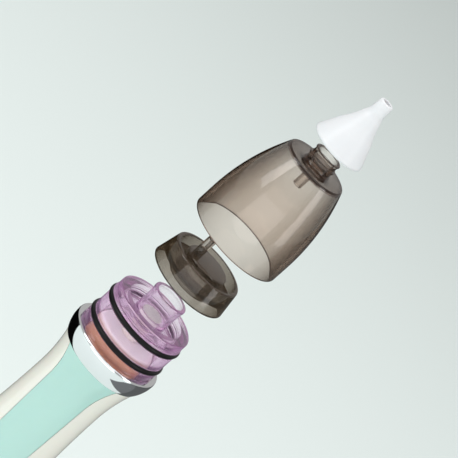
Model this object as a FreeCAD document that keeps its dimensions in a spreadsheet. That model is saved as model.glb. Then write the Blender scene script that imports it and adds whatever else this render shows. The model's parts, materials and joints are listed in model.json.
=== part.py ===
import FreeCAD, Part
import math
import os
import Sketcher

# A cordless nasal aspirator, standing on its flat base.  +Z runs up the axis of the handle, the origin is
# at the middle of the base, and the panel with the button faces -Y.  The mucus cup, the splash baffle and
# the soft nozzle are drawn pulled apart along the axis, as they are laid out for cleaning.

doc = FreeCAD.newDocument("nasal_aspirator")
Vector = FreeCAD.Vector

sheet = doc.addObject("Spreadsheet::Sheet", "Sizes")
SHEET_NAME = "Sizes"


class Size(float):
    """A number that also carries the spreadsheet formula it was worked out from."""

    def __new__(cls, number, formula=None):
        made = float.__new__(cls, number)
        made.formula = formula if formula is not None else repr(float(number))
        return made

    def _joined(self, other, sign, number, swapped=False):
        mine, theirs = self.formula, formula_of(other)
        left, right = (theirs, mine) if swapped else (mine, theirs)
        return Size(number, "(" + left + " " + sign + " " + right + ")")

    def __add__(self, other):
        return self._joined(other, "+", float(self) + float(other))

    def __radd__(self, other):
        return self._joined(other, "+", float(other) + float(self), True)

    def __sub__(self, other):
        return self._joined(other, "-", float(self) - float(other))

    def __rsub__(self, other):
        return self._joined(other, "-", float(other) - float(self), True)

    def __mul__(self, other):
        return self._joined(other, "*", float(self) * float(other))

    def __rmul__(self, other):
        return self._joined(other, "*", float(other) * float(self), True)

    def __truediv__(self, other):
        return self._joined(other, "/", float(self) / float(other))

    def __rtruediv__(self, other):
        return self._joined(other, "/", float(other) / float(self), True)

    def __neg__(self):
        return Size(-float(self), "(0 - " + self.formula + ")")


def formula_of(value):
    return value.formula if isinstance(value, Size) else repr(float(value))


def cosine(angle):
    return Size(math.cos(math.radians(angle)), "cos(" + formula_of(angle) + ")")


def sine(angle):
    return Size(math.sin(math.radians(angle)), "sin(" + formula_of(angle) + ")")


sheet_rows = []


def size(name, number, note):
    """Writes one driving size into the sheet and gives it back for use below."""
    row = str(len(sheet_rows) + 1)
    sheet.set("A" + row, name)
    sheet.set("B" + row, str(number))
    sheet.set("C" + row, note)
    sheet.setAlias("B" + row, name)
    sheet_rows.append(name)
    return Size(number, SHEET_NAME + "." + name)


def bind(owner, name, value):
    """Ties a property or a sketch constraint to the formula of a size."""
    if isinstance(value, Size) and SHEET_NAME in value.formula:
        owner.setExpression(name, value.formula)


# ---------------------------------------------------------------- sizes, in millimetres

# play between pieces
slip = size("slip", 0.1, "radial play of pieces that plug into each other")
running = size("running", 0.05, "radial play of a turning pin or shaft")
seam = size("seam", 0.15, "line left round the front panel and the port cover")
fit = size("fit", 0.05, "play of a fixed piece in its pocket")

# handle
housing_top = size("housing_top", 124.0, "upper face of the collar above the table")
shell_foot = size("shell_foot", 4.6, "lower edge of the two shells")
shoulder_r = size("shoulder_r", 17.8, "shell radius under the collar")
waist_r = size("waist_r", 15.3, "shell radius at the grip waist")
waist_height = size("waist_height", 97.0, "height of the grip waist")
belly_r = size("belly_r", 16.8, "largest shell radius lower down")
belly_height = size("belly_height", 45.0, "height of that largest radius")
foot_r = size("foot_r", 15.9, "shell radius at the bottom")
skin = size("skin", 1.0, "outer layer, which the panel and port cover replace")
wall = size("wall", 2.0, "full wall of the shells")
neck_r = size("neck_r", 16.0, "shell neck that the collar slides over")
neck_bore_r = size("neck_bore_r", 14.6, "inside of that neck")
neck_root = size("neck_root", 1.0, "how far the neck reaches below the rib that holds the manifold")
clamp_drop = size("clamp_drop", 9.0, "upper side of that rib below the collar top")
clamp_tall = size("clamp_tall", 1.5, "height of that rib")
clamp_r = size("clamp_r", 13.95, "inner radius of that rib")
ledge_low = size("ledge_low", 16.0, "lower side of the ledge under the inner frame")
ledge_high = size("ledge_high", 17.3, "upper side of that ledge")
ledge_r = size("ledge_r", 12.4, "inner radius of that ledge")
rib_root = size("rib_root", 0.5, "how far a rib or plug runs into the wall it stands on")

# front panel, button, lights
panel_top_half = size("panel_top_half", 12.6, "half width of the panel at its top")
panel_mid_half = size("panel_mid_half", 9.3, "half width where the flare has run out")
panel_mid_height = size("panel_mid_height", 102.0, "height where the flare has run out")
panel_end_half = size("panel_end_half", 7.5, "half width at the rounded lower end")
panel_end_height = size("panel_end_height", 33.0, "height of the middle of that rounded end")
panel_flare = size("panel_flare", 34.0, "radius of the curve of the flare")
button_height = size("button_height", 58.0, "height of the power button")
button_r = size("button_r", 5.3, "radius of the power button")
button_face = size("button_face", 17.1, "distance of the button face in front of the axis")
button_flange_r = size("button_flange_r", 6.1, "radius of the flange behind the button")
button_flange_front = size("button_flange_front", 12.7, "front of that flange from the axis")
button_flange_thick = size("button_flange_thick", 0.8, "thickness of that flange")
button_travel = size("button_travel", 0.6, "how far the button is pressed in")
button_round = size("button_round", 0.6, "rounding of the button face")
light_height = size("light_height", 38.5, "height of the lowest light")
light_pitch = size("light_pitch", 3.6, "spacing of the lights")
light_r = size("light_r", 0.8, "radius of each light window")
guide_thick = size("guide_thick", 1.0, "thickness of the bar behind the light windows")

# collar ring
collar_tall = size("collar_tall", 8.5, "height of the collar ring")
collar_r = size("collar_r", 20.0, "outer radius at its top")
collar_foot_r = size("collar_foot_r", 17.95, "outer radius at its bottom")
collar_bowl = size("collar_bowl", 14.0, "radius of its convex side")
collar_edge = size("collar_edge", 0.45, "rounding of its upper edge")
collar_seat_r = size("collar_seat_r", 17.42, "inner radius round the manifold")
collar_seat_deep = size("collar_seat_deep", 3.0, "depth of that bore")

# air manifold
manifold_r = size("manifold_r", 17.3, "outer radius of the manifold")
manifold_bore_r = size("manifold_bore_r", 13.2, "radius of the hollow underside")
manifold_skirt_r = size("manifold_skirt_r", 14.5, "outer radius of the skirt inside the shells")
manifold_skirt_deep = size("manifold_skirt_deep", 12.6, "depth of that skirt below the collar top")
manifold_ceiling = size("manifold_ceiling", 12.8, "top of the hollow underside")
manifold_floor = size("manifold_floor", 14.8, "floor of the upper recess")
manifold_tall = size("manifold_tall", 20.0, "height of the rim above the collar top")
rim_r = size("rim_r", 17.0, "outer radius of the rim")
rim_neck_r = size("rim_neck_r", 16.6, "radius of the step below the rim")
rim_low = size("rim_low", 16.9, "lower side of the rim")
rim_round = size("rim_round", 0.5, "rounding of the rims of manifold and baffle")
recess_r = size("recess_r", 12.7, "radius of the upper recess")
tube_top = size("tube_top", 28.0, "top of the central tube above the collar top")
tube_r = size("tube_r", 7.25, "outer radius of the central tube")
tube_lip_r = size("tube_lip_r", 7.5, "radius of the lip on the tube")
tube_lip_tall = size("tube_lip_tall", 1.5, "height of that lip")
tube_bore_r = size("tube_bore_r", 6.0, "bore of the central tube")
tube_floor = size("tube_floor", 18.2, "floor inside the tube")
filter_r = size("filter_r", 4.7, "radius of the filter seat in that floor")
filter_thick = size("filter_thick", 1.6, "thickness of the filter disc")
filter_ledge = size("filter_ledge", 0.9, "width of the ledge under the filter")
spigot_r = size("spigot_r", 2.5, "outer radius of the hose spigot")
spigot_bore_r = size("spigot_bore_r", 1.5, "bore of the hose spigot")
spigot_low = size("spigot_low", 6.0, "lower end of the spigot above the collar top")
o_ring_thick = size("o_ring_thick", 2.2, "cord thickness of the two seals")
lower_ring_height = size("lower_ring_height", 4.7, "lower seal above the collar top")
upper_ring_height = size("upper_ring_height", 14.2, "upper seal above the collar top")
lower_ring_r = size("lower_ring_r", 18.1, "outer radius of the lower seal, a fit in the straight mouth")
upper_ring_r = size("upper_ring_r", 17.86, "outer radius of the upper seal, where the cup narrows")
key_r = size("key_r", 17.7, "outer radius of the two keys at the base")
key_wide = size("key_wide", 5.0, "width of each key")
key_tall = size("key_tall", 1.8, "height of each key")

# splash baffle and its chimney
baffle_lift = size("baffle_lift", 17.07, "how far the baffle is drawn above its seat")
baffle_tall = size("baffle_tall", 10.5, "height of the baffle")
baffle_foot_r = size("baffle_foot_r", 17.15, "outer radius at its bottom")
baffle_top_r = size("baffle_top_r", 15.3, "outer radius at its top")
baffle_wall = size("baffle_wall", 1.6, "thickness of its outer wall")
baffle_plate = size("baffle_plate", 1.4, "thickness of its floor and boss top")
trough_deep = size("trough_deep", 5.0, "depth of the ring-shaped trough")
boss_r = size("boss_r", 9.3, "radius of the raised boss")
boss_lift = size("boss_lift", 0.5, "lower edge of the boss above the foot of the baffle")
chimney_x = size("chimney_x", -5.5, "chimney position across")
chimney_y = size("chimney_y", -1.7, "chimney position front to back")
chimney_r = size("chimney_r", 1.875, "outer radius of the chimney")
chimney_bore_r = size("chimney_bore_r", 0.9, "bore of the chimney")
chimney_stub = size("chimney_stub", 3.5, "height of the stub it plugs into")
chimney_tall = size("chimney_tall", 8.3, "chimney top above the boss")
chimney_plug = size("chimney_plug", 2.5, "depth of the plug-in end")
chimney_plug_r = size("chimney_plug_r", 1.35, "radius of the plug-in end")

# mucus cup
cup_lift = size("cup_lift", 61.76, "how far the cup is drawn above its seat")
cup_r = size("cup_r", 20.0, "outer radius at the mouth")
cup_wall = size("cup_wall", 1.8, "wall at the mouth")
cup_straight = size("cup_straight", 8.0, "height of the straight part at the mouth")
cup_shoulder = size("cup_shoulder", 41.5, "height of the shoulder above the mouth")
cup_shoulder_r = size("cup_shoulder_r", 13.03, "outer radius at the shoulder")
cup_ceiling_r = size("cup_ceiling_r", 12.7, "inner radius at the ceiling")
cup_plate = size("cup_plate", 1.2, "thickness of the top plate")
cup_edge = size("cup_edge", 0.6, "rounding of the shoulder edge")
spout_r = size("spout_r", 5.7, "radius of the spout drum")
spout_root = size("spout_root", 0.5, "rounding where the spout meets the top plate")
spout_bore_r = size("spout_bore_r", 4.45, "bore of the spout")
spout_tall = size("spout_tall", 6.0, "height of the spout")
spout_flange_r = size("spout_flange_r", 6.1, "radius of its gripping flange")
spout_flange_low = size("spout_flange_low", 2.3, "lower side of that flange above the shoulder")
spout_flange_thick = size("spout_flange_thick", 0.8, "thickness of that flange")
spout_groove_r = size("spout_groove_r", 5.45, "radius of the groove above it")
spout_groove_tall = size("spout_groove_tall", 2.3, "height of that groove")
spout_lip_r = size("spout_lip_r", 5.8, "radius of the lip at the top")
spout_lip_round = size("spout_lip_round", 0.25, "rounding of that lip")
drip_r = size("drip_r", 1.9, "outer radius of the drip tube")
drip_bore_r = size("drip_bore_r", 1.1, "bore of the drip tube")
drip_deep = size("drip_deep", 10.6, "end of the drip tube below the shoulder")
funnel_r = size("funnel_r", 5.7, "radius of the drum under the top plate")
funnel_tall = size("funnel_tall", 1.0, "height of the drum under the top plate")
funnel_top = size("funnel_top", 0.6, "upper end of the funnel below the shoulder")
funnel_end = size("funnel_end", 1.3, "lower end of the funnel below the shoulder")

# nozzle
nozzle_lift = size("nozzle_lift", 10.24, "how far the nozzle is drawn above the shoulder")
nozzle_tall = size("nozzle_tall", 24.9, "height of the nozzle")
nozzle_skirt_r = size("nozzle_skirt_r", 11.9, "radius of the skirt")
nozzle_lip = size("nozzle_lip", 0.7, "rounding of the lower lip")
nozzle_flare_r = size("nozzle_flare_r", 7.65, "radius where the cone turns straight")
nozzle_flare_height = size("nozzle_flare_height", 9.3, "height of that point")
nozzle_neck_r = size("nozzle_neck_r", 4.15, "radius where the cone meets the tip")
nozzle_neck_height = size("nozzle_neck_height", 17.2, "height of that point")
nozzle_tip_low_r = size("nozzle_tip_low_r", 3.15, "lower radius of the tip")
nozzle_tip_low = size("nozzle_tip_low", 20.2, "height of that radius")
nozzle_tip_r = size("nozzle_tip_r", 2.8, "radius of the tip")
nozzle_tip_round = size("nozzle_tip_round", 0.6, "rounding of the tip")
nozzle_flank_curve = size("nozzle_flank_curve", 34.0, "radius of the hollow of the cone below the neck")
nozzle_neck_curve = size("nozzle_neck_curve", 6.5, "radius of the hollow at the neck")
nozzle_bore_r = size("nozzle_bore_r", 1.7, "bore of the tip")
nozzle_bore_low = size("nozzle_bore_low", 16.0, "lower end of that bore")
sleeve_wall = size("sleeve_wall", 1.25, "wall of the sleeve that grips the spout")
sleeve_deep = size("sleeve_deep", 6.6, "depth of that sleeve")
sleeve_taper = size("sleeve_taper", 1.0, "how much the bore narrows at the end of the sleeve")
sleeve_low = size("sleeve_low", 0.6, "sleeve end above the skirt edge")
skirt_wall = size("skirt_wall", 1.5, "wall of the skirt")
pocket_gap = size("pocket_gap", 0.92, "gap between skirt and sleeve at the top of the skirt")

# motor
motor_r = size("motor_r", 12.2, "radius of the motor can")
motor_low = size("motor_low", 71.2, "lower end of the motor")
motor_high = size("motor_high", 102.0, "upper face of the motor")
motor_wall = size("motor_wall", 0.9, "sheet thickness of the can")
motor_round = size("motor_round", 1.0, "rounding of the can")
motor_screw_ring = size("motor_screw_ring", 7.56, "distance of the motor screws from the axis")
motor_boss_r = size("motor_boss_r", 3.0, "radius of the bearing bosses")
motor_boss_tall = size("motor_boss_tall", 1.5, "height of the bearing bosses")
end_cap_thick = size("end_cap_thick", 2.0, "thickness of the end cap")
shaft_r = size("shaft_r", 1.0, "radius of the motor shaft")
shaft_high = size("shaft_high", 105.9, "upper end of the shaft")
bearing_tall = size("bearing_tall", 1.4, "height of the bearings")
bearing_collar = size("bearing_collar", 1.0, "wall round the lower bearing, and below it")
shaft_room = size("shaft_room", 1.0, "room round the shaft in the can")
shaft_chamfer = size("shaft_chamfer", 0.2, "chamfer of the shaft end")
bearing_r = size("bearing_r", 2.2, "outer radius of the bearings")
magnet_thick = size("magnet_thick", 1.4, "thickness of the magnets")
magnet_low = size("magnet_low", 80.0, "lower end of the magnets")
magnet_tall = size("magnet_tall", 17.0, "height of the magnets")
magnet_angle = size("magnet_angle", 125.0, "arc taken by each magnet, in degrees")
air_gap = size("air_gap", 0.65, "gap between the magnets and the armature core")
core_low = size("core_low", 81.0, "lower end of the core")
core_tall = size("core_tall", 15.0, "height of the core")
slot_wide = size("slot_wide", 4.4, "width of the winding slots")
slot_deep_r = size("slot_deep_r", 3.6, "radius of the slot floor")
coil_inset = size("coil_inset", 1.0, "how far the windings stay inside the rim of the core")
commutator_r = size("commutator_r", 2.7, "radius of the commutator")
commutator_low = size("commutator_low", 74.6, "lower end of the commutator")
commutator_tall = size("commutator_tall", 4.2, "height of the commutator")
brush_long = size("brush_long", 4.0, "length of each brush")
brush_wide = size("brush_wide", 2.2, "width and height of each brush")
brush_lift = size("brush_lift", 1.0, "brushes above the lower end of the commutator")
terminal_x = size("terminal_x", 7.2, "motor terminals, distance to each side")
terminal_tall = size("terminal_tall", 1.8, "height of the motor terminals")

# wobble pump
pump_r = size("pump_r", 11.5, "radius of the pump")
pump_wall = size("pump_wall", 1.1, "wall of the pump base")
pump_floor = size("pump_floor", 1.6, "floor of the pump base")
pivot_height = size("pivot_height", 112.0, "height of the point the crank pin tilts about")
holder_thick = size("holder_thick", 2.4, "thickness of the diaphragm holder")
sheet_thick = size("sheet_thick", 0.6, "thickness of the diaphragm sheet")
valve_plate_thick = size("valve_plate_thick", 2.0, "thickness of the valve plate")
head_thick = size("head_thick", 4.0, "thickness of the pump head")
nipple_r = size("nipple_r", 2.5, "radius of the suction nipple")
nipple_tall = size("nipple_tall", 6.0, "height of the suction nipple")
nipple_round = size("nipple_round", 0.5, "rounding of its end")
nipple_bore_low = size("nipple_bore_low", 3.0, "where its bore starts in the head")
well_r = size("well_r", 5.6, "radius of the outlet well in the head and the valve plate")
well_deep = size("well_deep", 2.0, "depth of that well in the head")
ring_out_r = size("ring_out_r", 9.0, "outer radius of the inlet ring in the head")
ring_in_r = size("ring_in_r", 6.1, "inner radius of the inlet ring")
ring_deep = size("ring_deep", 1.5, "depth of the inlet ring")
inlet_ring = size("inlet_ring", 7.6, "radius of the circle the inlet ports lie on")
outlet_ring = size("outlet_ring", 4.6, "radius of the circle the outlet ports lie on")
port_r = size("port_r", 0.5, "radius of the ports")
inlet_flap_r = size("inlet_flap_r", 1.3, "radius of the inlet flaps")
flap_thick = size("flap_thick", 0.25, "thickness of the flaps")
flap_recess = size("flap_recess", 0.5, "depth of the recess each flap lies in")
chamber_ring = size("chamber_ring", 6.6, "radius of the circle the three chambers lie on")
chamber_r = size("chamber_r", 2.9, "radius of the bores round the diaphragm cups")
pump_screw_ring = size("pump_screw_ring", 9.3, "radius of the circle the pump screws lie on")
pump_screw_hole = size("pump_screw_hole", 5.0, "depth of the screw holes in the pump base")
pump_screw_bite = size("pump_screw_bite", 3.0, "thread held in the pump base")
mount_screw_end = size("mount_screw_end", 1.0, "how far the motor screws reach past the can")
pin_slant = size("pin_slant", 4.0, "tilt of the crank pin, in degrees")
pin_r = size("pin_r", 0.75, "radius of the crank pin")
pin_long = size("pin_long", 6.3, "length of the crank pin")
pin_over = size("pin_over", 0.4, "pin end above the point it tilts about")
socket_deep = size("socket_deep", 0.7, "depth of the socket over the pin")
eccentric_r = size("eccentric_r", 4.0, "radius of the eccentric")
eccentric_low = size("eccentric_low", 103.9, "lower side of the eccentric")
eccentric_high = size("eccentric_high", 107.2, "upper side of the eccentric")
rocker_hub_r = size("rocker_hub_r", 2.0, "radius of the rocker hub")
rocker_reach = size("rocker_reach", 8.5, "length of the rocker arms")
rocker_arm_wide = size("rocker_arm_wide", 3.6, "width of the rocker arms")
rocker_arm_top = size("rocker_arm_top", 1.2, "upper side of the arms below the tilt point")
rocker_arm_thick = size("rocker_arm_thick", 1.2, "thickness of the arms")
rocker_hub_top = size("rocker_hub_top", 0.6, "top of the hub below the tilt point")
rocker_hub_low = size("rocker_hub_low", 4.4, "bottom of the hub below the tilt point")
stem_r = size("stem_r", 0.65, "radius of the diaphragm stems")
stem_play = size("stem_play", 0.55, "room round the stems in the rocker arms")
stem_over = size("stem_over", 1.0, "how far the stems reach below the arms")

# boot and hose
boot_r = size("boot_r", 12.9, "outer radius of the boot")
boot_low = size("boot_low", 103.2, "lower edge of the boot")
boot_high = size("boot_high", 130.6, "top of the boot")
boot_wall = size("boot_wall", 1.3, "wall of the boot")
hose_r = size("hose_r", 3.8, "outer radius of the hose")

# battery, boards, frame
cell_r = size("cell_r", 7.1, "radius of the battery cell")
cell_low = size("cell_low", 19.2, "lower end of the cell")
cell_tall = size("cell_tall", 49.4, "height of the cell body")
cell_back = size("cell_back", 4.5, "cell axis behind the handle axis")
cell_round = size("cell_round", 0.5, "rounding of its ends")
cell_nub_r = size("cell_nub_r", 2.8, "radius of the raised contact")
cell_nub_tall = size("cell_nub_tall", 0.6, "height of the raised contact")
tab_thick = size("tab_thick", 0.2, "thickness of the contact strips")
tab_wide = size("tab_wide", 4.0, "width of the contact strips")
board_front = size("board_front", 6.6, "front face of the main board before the axis")
board_thick = size("board_thick", 1.2, "thickness of the main board")
board_wide = size("board_wide", 17.4, "width of the main board")
board_low = size("board_low", 25.0, "lower edge of the main board")
board_tall = size("board_tall", 42.0, "height of the main board")
chip_thick = size("chip_thick", 1.0, "thickness of the chips")
chip_side = size("chip_side", 4.6, "side of the controller chip")
driver_side = size("driver_side", 3.45, "side of the motor driver chip")
charger_side = size("charger_side", 3.68, "side of the charge controller chip")
wire_r = size("wire_r", 0.55, "radius of the insulated leads")
lead_across = size("lead_across", 6.7, "motor leads, distance to each side")
lead_down = size("lead_down", 3.0, "ends of the motor leads below the upper edge of the board")
lead_gate_tall = size("lead_gate_tall", 2.0, "height of the openings for the motor leads")
charge_lead_x = size("charge_lead_x", 2.0, "charging leads, distance to each side")
lead_lap = size("lead_lap", 2.0, "how far the charging leads lie on the board")
battery_lead_lift = size("battery_lead_lift", 1.0, "lower ends of the battery leads above the cell end")
switch_wide = size("switch_wide", 6.0, "width of the switch under the button")
switch_deep = size("switch_deep", 3.5, "depth of the switch body")
plunger_r = size("plunger_r", 1.7, "radius of its plunger")
plunger_long = size("plunger_long", 1.0, "length of its plunger")
frame_front = size("frame_front", 4.4, "front face of the frame plate before the axis")
frame_thick = size("frame_thick", 1.4, "thickness of the frame plate")
frame_wide = size("frame_wide", 17.0, "width of the frame plate")
shelf_low = size("shelf_low", 17.4, "lower side of the bottom shelf")
shelf_thick = size("shelf_thick", 1.2, "thickness of the shelves")
shelf_r = size("shelf_r", 13.2, "radius of the bottom shelf")
top_shelf_r = size("top_shelf_r", 12.8, "radius of the top shelf")
top_shelf_bore_r = size("top_shelf_bore_r", 10.2, "opening in the top shelf")
leg_x = size("leg_x", 9.5, "frame legs and base screws, distance from the axis")
leg_r = size("leg_r", 2.3, "radius of the frame legs")
leg_low = size("leg_low", 5.0, "lower end of the frame legs")
charge_low = size("charge_low", 11.0, "lower face of the charging board")
charge_thick = size("charge_thick", 1.0, "thickness of the charging board")
charge_half = size("charge_half", 6.8, "half width of the charging board")
charge_front = size("charge_front", 8.0, "front edge of the charging board")
charge_back = size("charge_back", 9.6, "rear edge of the charging board")

# charging socket and its cover
socket_half = size("socket_half", 4.47, "half width of the charging socket")
socket_tall = size("socket_tall", 3.2, "height of the charging socket")
socket_front = size("socket_front", 7.5, "inner end of the socket behind the axis")
socket_back = size("socket_back", 14.0, "mouth of the socket behind the axis")
socket_sheet = size("socket_sheet", 0.35, "sheet thickness of the socket")
socket_end = size("socket_end", 1.0, "closed inner end of the socket")
tongue_thick = size("tongue_thick", 0.7, "thickness of the contact tongue")
tongue_half = size("tongue_half", 3.47, "half width of the contact tongue")
tongue_back = size("tongue_back", 2.0, "how far the tongue ends inside the mouth")
cover_half = size("cover_half", 6.6, "half width of the port cover")
cover_low = size("cover_low", 8.6, "lower edge of the port cover")
cover_tall = size("cover_tall", 9.6, "height of the port cover")
cover_round = size("cover_round", 2.4, "corner rounding of the port cover")
cover_plug = size("cover_plug", 1.15, "depth of the plug behind the cover")

# base, screws and vents
foot_thick = size("foot_thick", 1.4, "thickness of the rubber foot")
foot_proud = size("foot_proud", 0.6, "how far the foot stands below the base cap")
foot_pad_r = size("foot_pad_r", 13.0, "radius of the rubber foot")
base_round = size("base_round", 1.4, "rounding of the lower edge of the base cap")
base_plug_wall = size("base_plug_wall", 1.2, "wall of the ring that plugs into the shells")
base_plug_tall = size("base_plug_tall", 3.2, "height of that ring")
base_floor_drop = size("base_floor_drop", 1.0, "inside floor of the base below the shell edge")
foot_round = size("foot_round", 0.36, "rounding of the rubber foot")
post_r = size("post_r", 1.6, "radius of the posts under the charging board")
post_x = size("post_x", 4.6, "those posts, distance to each side")
post_y = size("post_y", 5.0, "those posts, distance to front and back")
screw_r = size("screw_r", 0.95, "thread radius of the case screws")
screw_head_r = size("screw_head_r", 1.8, "head radius of the case screws")
screw_head_tall = size("screw_head_tall", 1.3, "head height of the case screws")
screw_end_wall = size("screw_end_wall", 1.0, "material left at the blind end of a screw hole")
case_screw_bite = size("case_screw_bite", 4.0, "thread of the case screws held in the front shell")
pump_screw_r = size("pump_screw_r", 0.75, "thread radius of the pump screws")
pump_screw_head_r = size("pump_screw_head_r", 1.5, "head radius of the pump screws")
pump_screw_head_tall = size("pump_screw_head_tall", 1.0, "head height of the pump screws")
drive_half = size("drive_half", 0.28, "half width of the cross slots in the screw heads")
drive_reach = size("drive_reach", 1.0, "half length of those slots")
drive_deep = size("drive_deep", 0.6, "depth of those slots")
case_screw_x = size("case_screw_x", 12.0, "case screws, distance from the axis")
case_screw_height = size("case_screw_height", 30.0, "height of the case screws")
case_boss_r = size("case_boss_r", 2.0, "radius of the case screw bosses")
case_boss_deep = size("case_boss_deep", 6.0, "length of the case screw bosses")
vent_low = size("vent_low", 84.0, "height of the lowest vent slot")
vent_pitch = size("vent_pitch", 3.0, "spacing of the vent slots")
vent_half = size("vent_half", 4.2, "half length of the vent slots")
vent_tall = size("vent_tall", 1.2, "height of the vent slots")
VENTS = 5
LIGHTS = 3
CHAMBERS = 3

FULL_TURN = 360.0
HALF_TURN = 180.0

doc.recompute()


# ---------------------------------------------------------------- ways of drawing

def bow(across, along):
    """Radius of an arc that starts along one direction and has moved across by the end."""
    return (across * across + along * along) / (across * 2)


def turned(point, angle):
    """A point in the XY plane turned round the axis by an angle in degrees."""
    far, side = point
    return (far * cosine(angle) - side * sine(angle), far * sine(angle) + side * cosine(angle))


class Piece:
    """One separate solid of the object: a body, its sketches and its features."""

    made = []

    def __init__(self, label, at=(0.0, 0.0, 0.0), tilt=None):
        self.body = doc.addObject("PartDesign::Body", label)
        self.body.Label = label
        self.label = label
        self.sketches = 0
        turn = FreeCAD.Rotation(Vector(0, 1, 0), float(tilt) if tilt is not None else 0.0)
        self.body.Placement = FreeCAD.Placement(Vector(*[float(value) for value in at]), turn)
        for axis, value in zip("xyz", at):
            bind(self.body, "Placement.Base." + axis, value)
        if tilt is not None:
            bind(self.body, "Placement.Rotation.Angle", tilt)
        Piece.made.append(self)

    def sketch(self, plane, offset=0.0):
        """An empty sketch on one of the body's own planes, moved along the plane's normal."""
        self.sketches += 1
        name = self.label + "_sketch_" + str(self.sketches)
        drawn = self.body.newObject("Sketcher::SketchObject", name)
        face = [item for item in self.body.Origin.OriginFeatures if item.Role == plane + "_Plane"][0]
        drawn.AttachmentSupport = [(face, "")]
        drawn.MapMode = "FlatFace"
        drawn.AttachmentOffset = FreeCAD.Placement(Vector(0, 0, float(offset)), FreeCAD.Rotation())
        bind(drawn, "AttachmentOffset.Base.z", offset)
        return drawn

    def outline(self, items, plane="XZ", offset=0.0, drawn=None):
        """A closed line through points; a third and fourth value make an arc, bulging left (+1) or right."""
        drawn = drawn or self.sketch(plane, offset)
        first = drawn.GeometryCount
        corners = [(item[0], item[1]) for item in items]
        ends = []
        radii = []
        for index in range(len(items)):
            after = items[(index + 1) % len(items)]
            start = Vector(float(corners[index][0]), float(corners[index][1]), 0)
            stop = Vector(float(after[0]), float(after[1]), 0)
            number = first + index
            if len(after) > 2:
                radius, bulge = float(after[2]), after[3]
                chord = stop - start
                left = Vector(-chord.y, chord.x, 0).normalize()
                rise = math.sqrt(max(radius ** 2 - (chord.Length / 2) ** 2, 0.0))
                centre = (start + stop) / 2 - left * bulge * rise
                circle = Part.Circle(centre, Vector(0, 0, 1), radius)
                low, high = (stop, start) if bulge > 0 else (start, stop)
                angle_low = math.atan2(low.y - centre.y, low.x - centre.x)
                angle_high = math.atan2(high.y - centre.y, high.x - centre.x)
                if angle_high < angle_low:
                    angle_high += 2 * math.pi
                drawn.addGeometry(Part.ArcOfCircle(circle, angle_low, angle_high), False)
                ends.append(((number, 2), (number, 1)) if bulge > 0 else ((number, 1), (number, 2)))
                radii.append((number, after[2]))
            else:
                drawn.addGeometry(Part.LineSegment(start, stop), False)
                ends.append(((number, 1), (number, 2)))
        rules = []
        formulas = []
        for index in range(len(items)):
            next_start = ends[(index + 1) % len(items)][0]
            rules.append(Sketcher.Constraint("Coincident", *ends[index][1], *next_start))
            formulas.append(None)
        for index, (across, up) in enumerate(corners):
            for kind, axis, value in (("DistanceX", -2, across), ("DistanceY", -1, up)):
                if float(value) == 0.0 and not isinstance(value, Size):
                    rules.append(Sketcher.Constraint("PointOnObject", *ends[index][0], axis))
                    formulas.append(None)
                else:
                    rules.append(Sketcher.Constraint(kind, -1, 1, *ends[index][0], float(value)))
                    formulas.append(value)
        for number, radius in radii:
            rules.append(Sketcher.Constraint("Radius", number, float(radius)))
            formulas.append(radius)
        self.rule(drawn, rules, formulas)
        return drawn

    def circles(self, rounds, plane="XY", offset=0.0, drawn=None):
        """Circles given as (across, up, radius)."""
        drawn = drawn or self.sketch(plane, offset)
        rules = []
        formulas = []
        for across, up, radius in rounds:
            number = drawn.GeometryCount
            centre = Vector(float(across), float(up), 0)
            drawn.addGeometry(Part.Circle(centre, Vector(0, 0, 1), float(radius)), False)
            for kind, axis, value in (("DistanceX", -2, across), ("DistanceY", -1, up)):
                if abs(float(value)) < 1e-9:
                    rules.append(Sketcher.Constraint("PointOnObject", number, 3, axis))
                    formulas.append(None)
                else:
                    rules.append(Sketcher.Constraint(kind, -1, 1, number, 3, float(value)))
                    formulas.append(value)
            rules.append(Sketcher.Constraint("Radius", number, float(radius)))
            formulas.append(radius)
        self.rule(drawn, rules, formulas)
        return drawn

    def rule(self, drawn, rules, formulas):
        first = drawn.ConstraintCount
        drawn.addConstraint(rules)
        for index, value in enumerate(formulas):
            if value is not None:
                bind(drawn, "Constraints[" + str(first + index) + "]", value)

    def box_outline(self, low_x, low_y, high_x, high_y, plane="XY", offset=0.0, drawn=None):
        corners = [(low_x, low_y), (high_x, low_y), (high_x, high_y), (low_x, high_y)]
        return self.outline(corners, plane, offset, drawn)

    def feature(self, kind, drawn, **values):
        self.body.newObject("PartDesign::" + kind, self.label + "_" + kind.lower() + str(self.sketches))
        made = self.body.Group[-1]
        made.Profile = drawn
        if drawn.solve() != 0:
            raise ValueError(drawn.Name + " cannot be solved")
        for name, value in values.items():
            setattr(made, name, float(value) if isinstance(value, Size) else value)
            bind(made, name, value)
        doc.recompute()
        return made

    def pad(self, drawn, length, flip=False, middle=False):
        """Material along the sketch's normal: up for XY, to the front for XZ, to +X for YZ."""
        return self.feature("Pad", drawn, Length=length, Reversed=flip, Midplane=middle)

    def cut(self, drawn, length, flip=False, middle=False):
        """A pocket that runs the same way a pad would."""
        before = self.body.Shape.Volume
        made = self.feature("Pocket", drawn, Length=length, Reversed=not flip, Midplane=middle)
        if not self.body.Shape.Volume < before:
            raise ValueError(self.label + ": a pocket removed nothing")
        return made

    def spin(self, items, turn=FULL_TURN, flip=False, drawn=None):
        drawn = drawn or self.outline(items)
        return self.feature("Revolution", drawn, ReferenceAxis=(drawn, ["V_Axis"]), Angle=turn, Reversed=flip)

    def groove(self, items, turn=FULL_TURN, flip=False):
        drawn = self.outline(items)
        before = self.body.Shape.Volume
        made = self.feature("Groove", drawn, ReferenceAxis=(drawn, ["V_Axis"]), Angle=turn, Reversed=flip)
        if not self.body.Shape.Volume < before:
            raise ValueError(self.label + ": a groove removed nothing")
        return made

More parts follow.
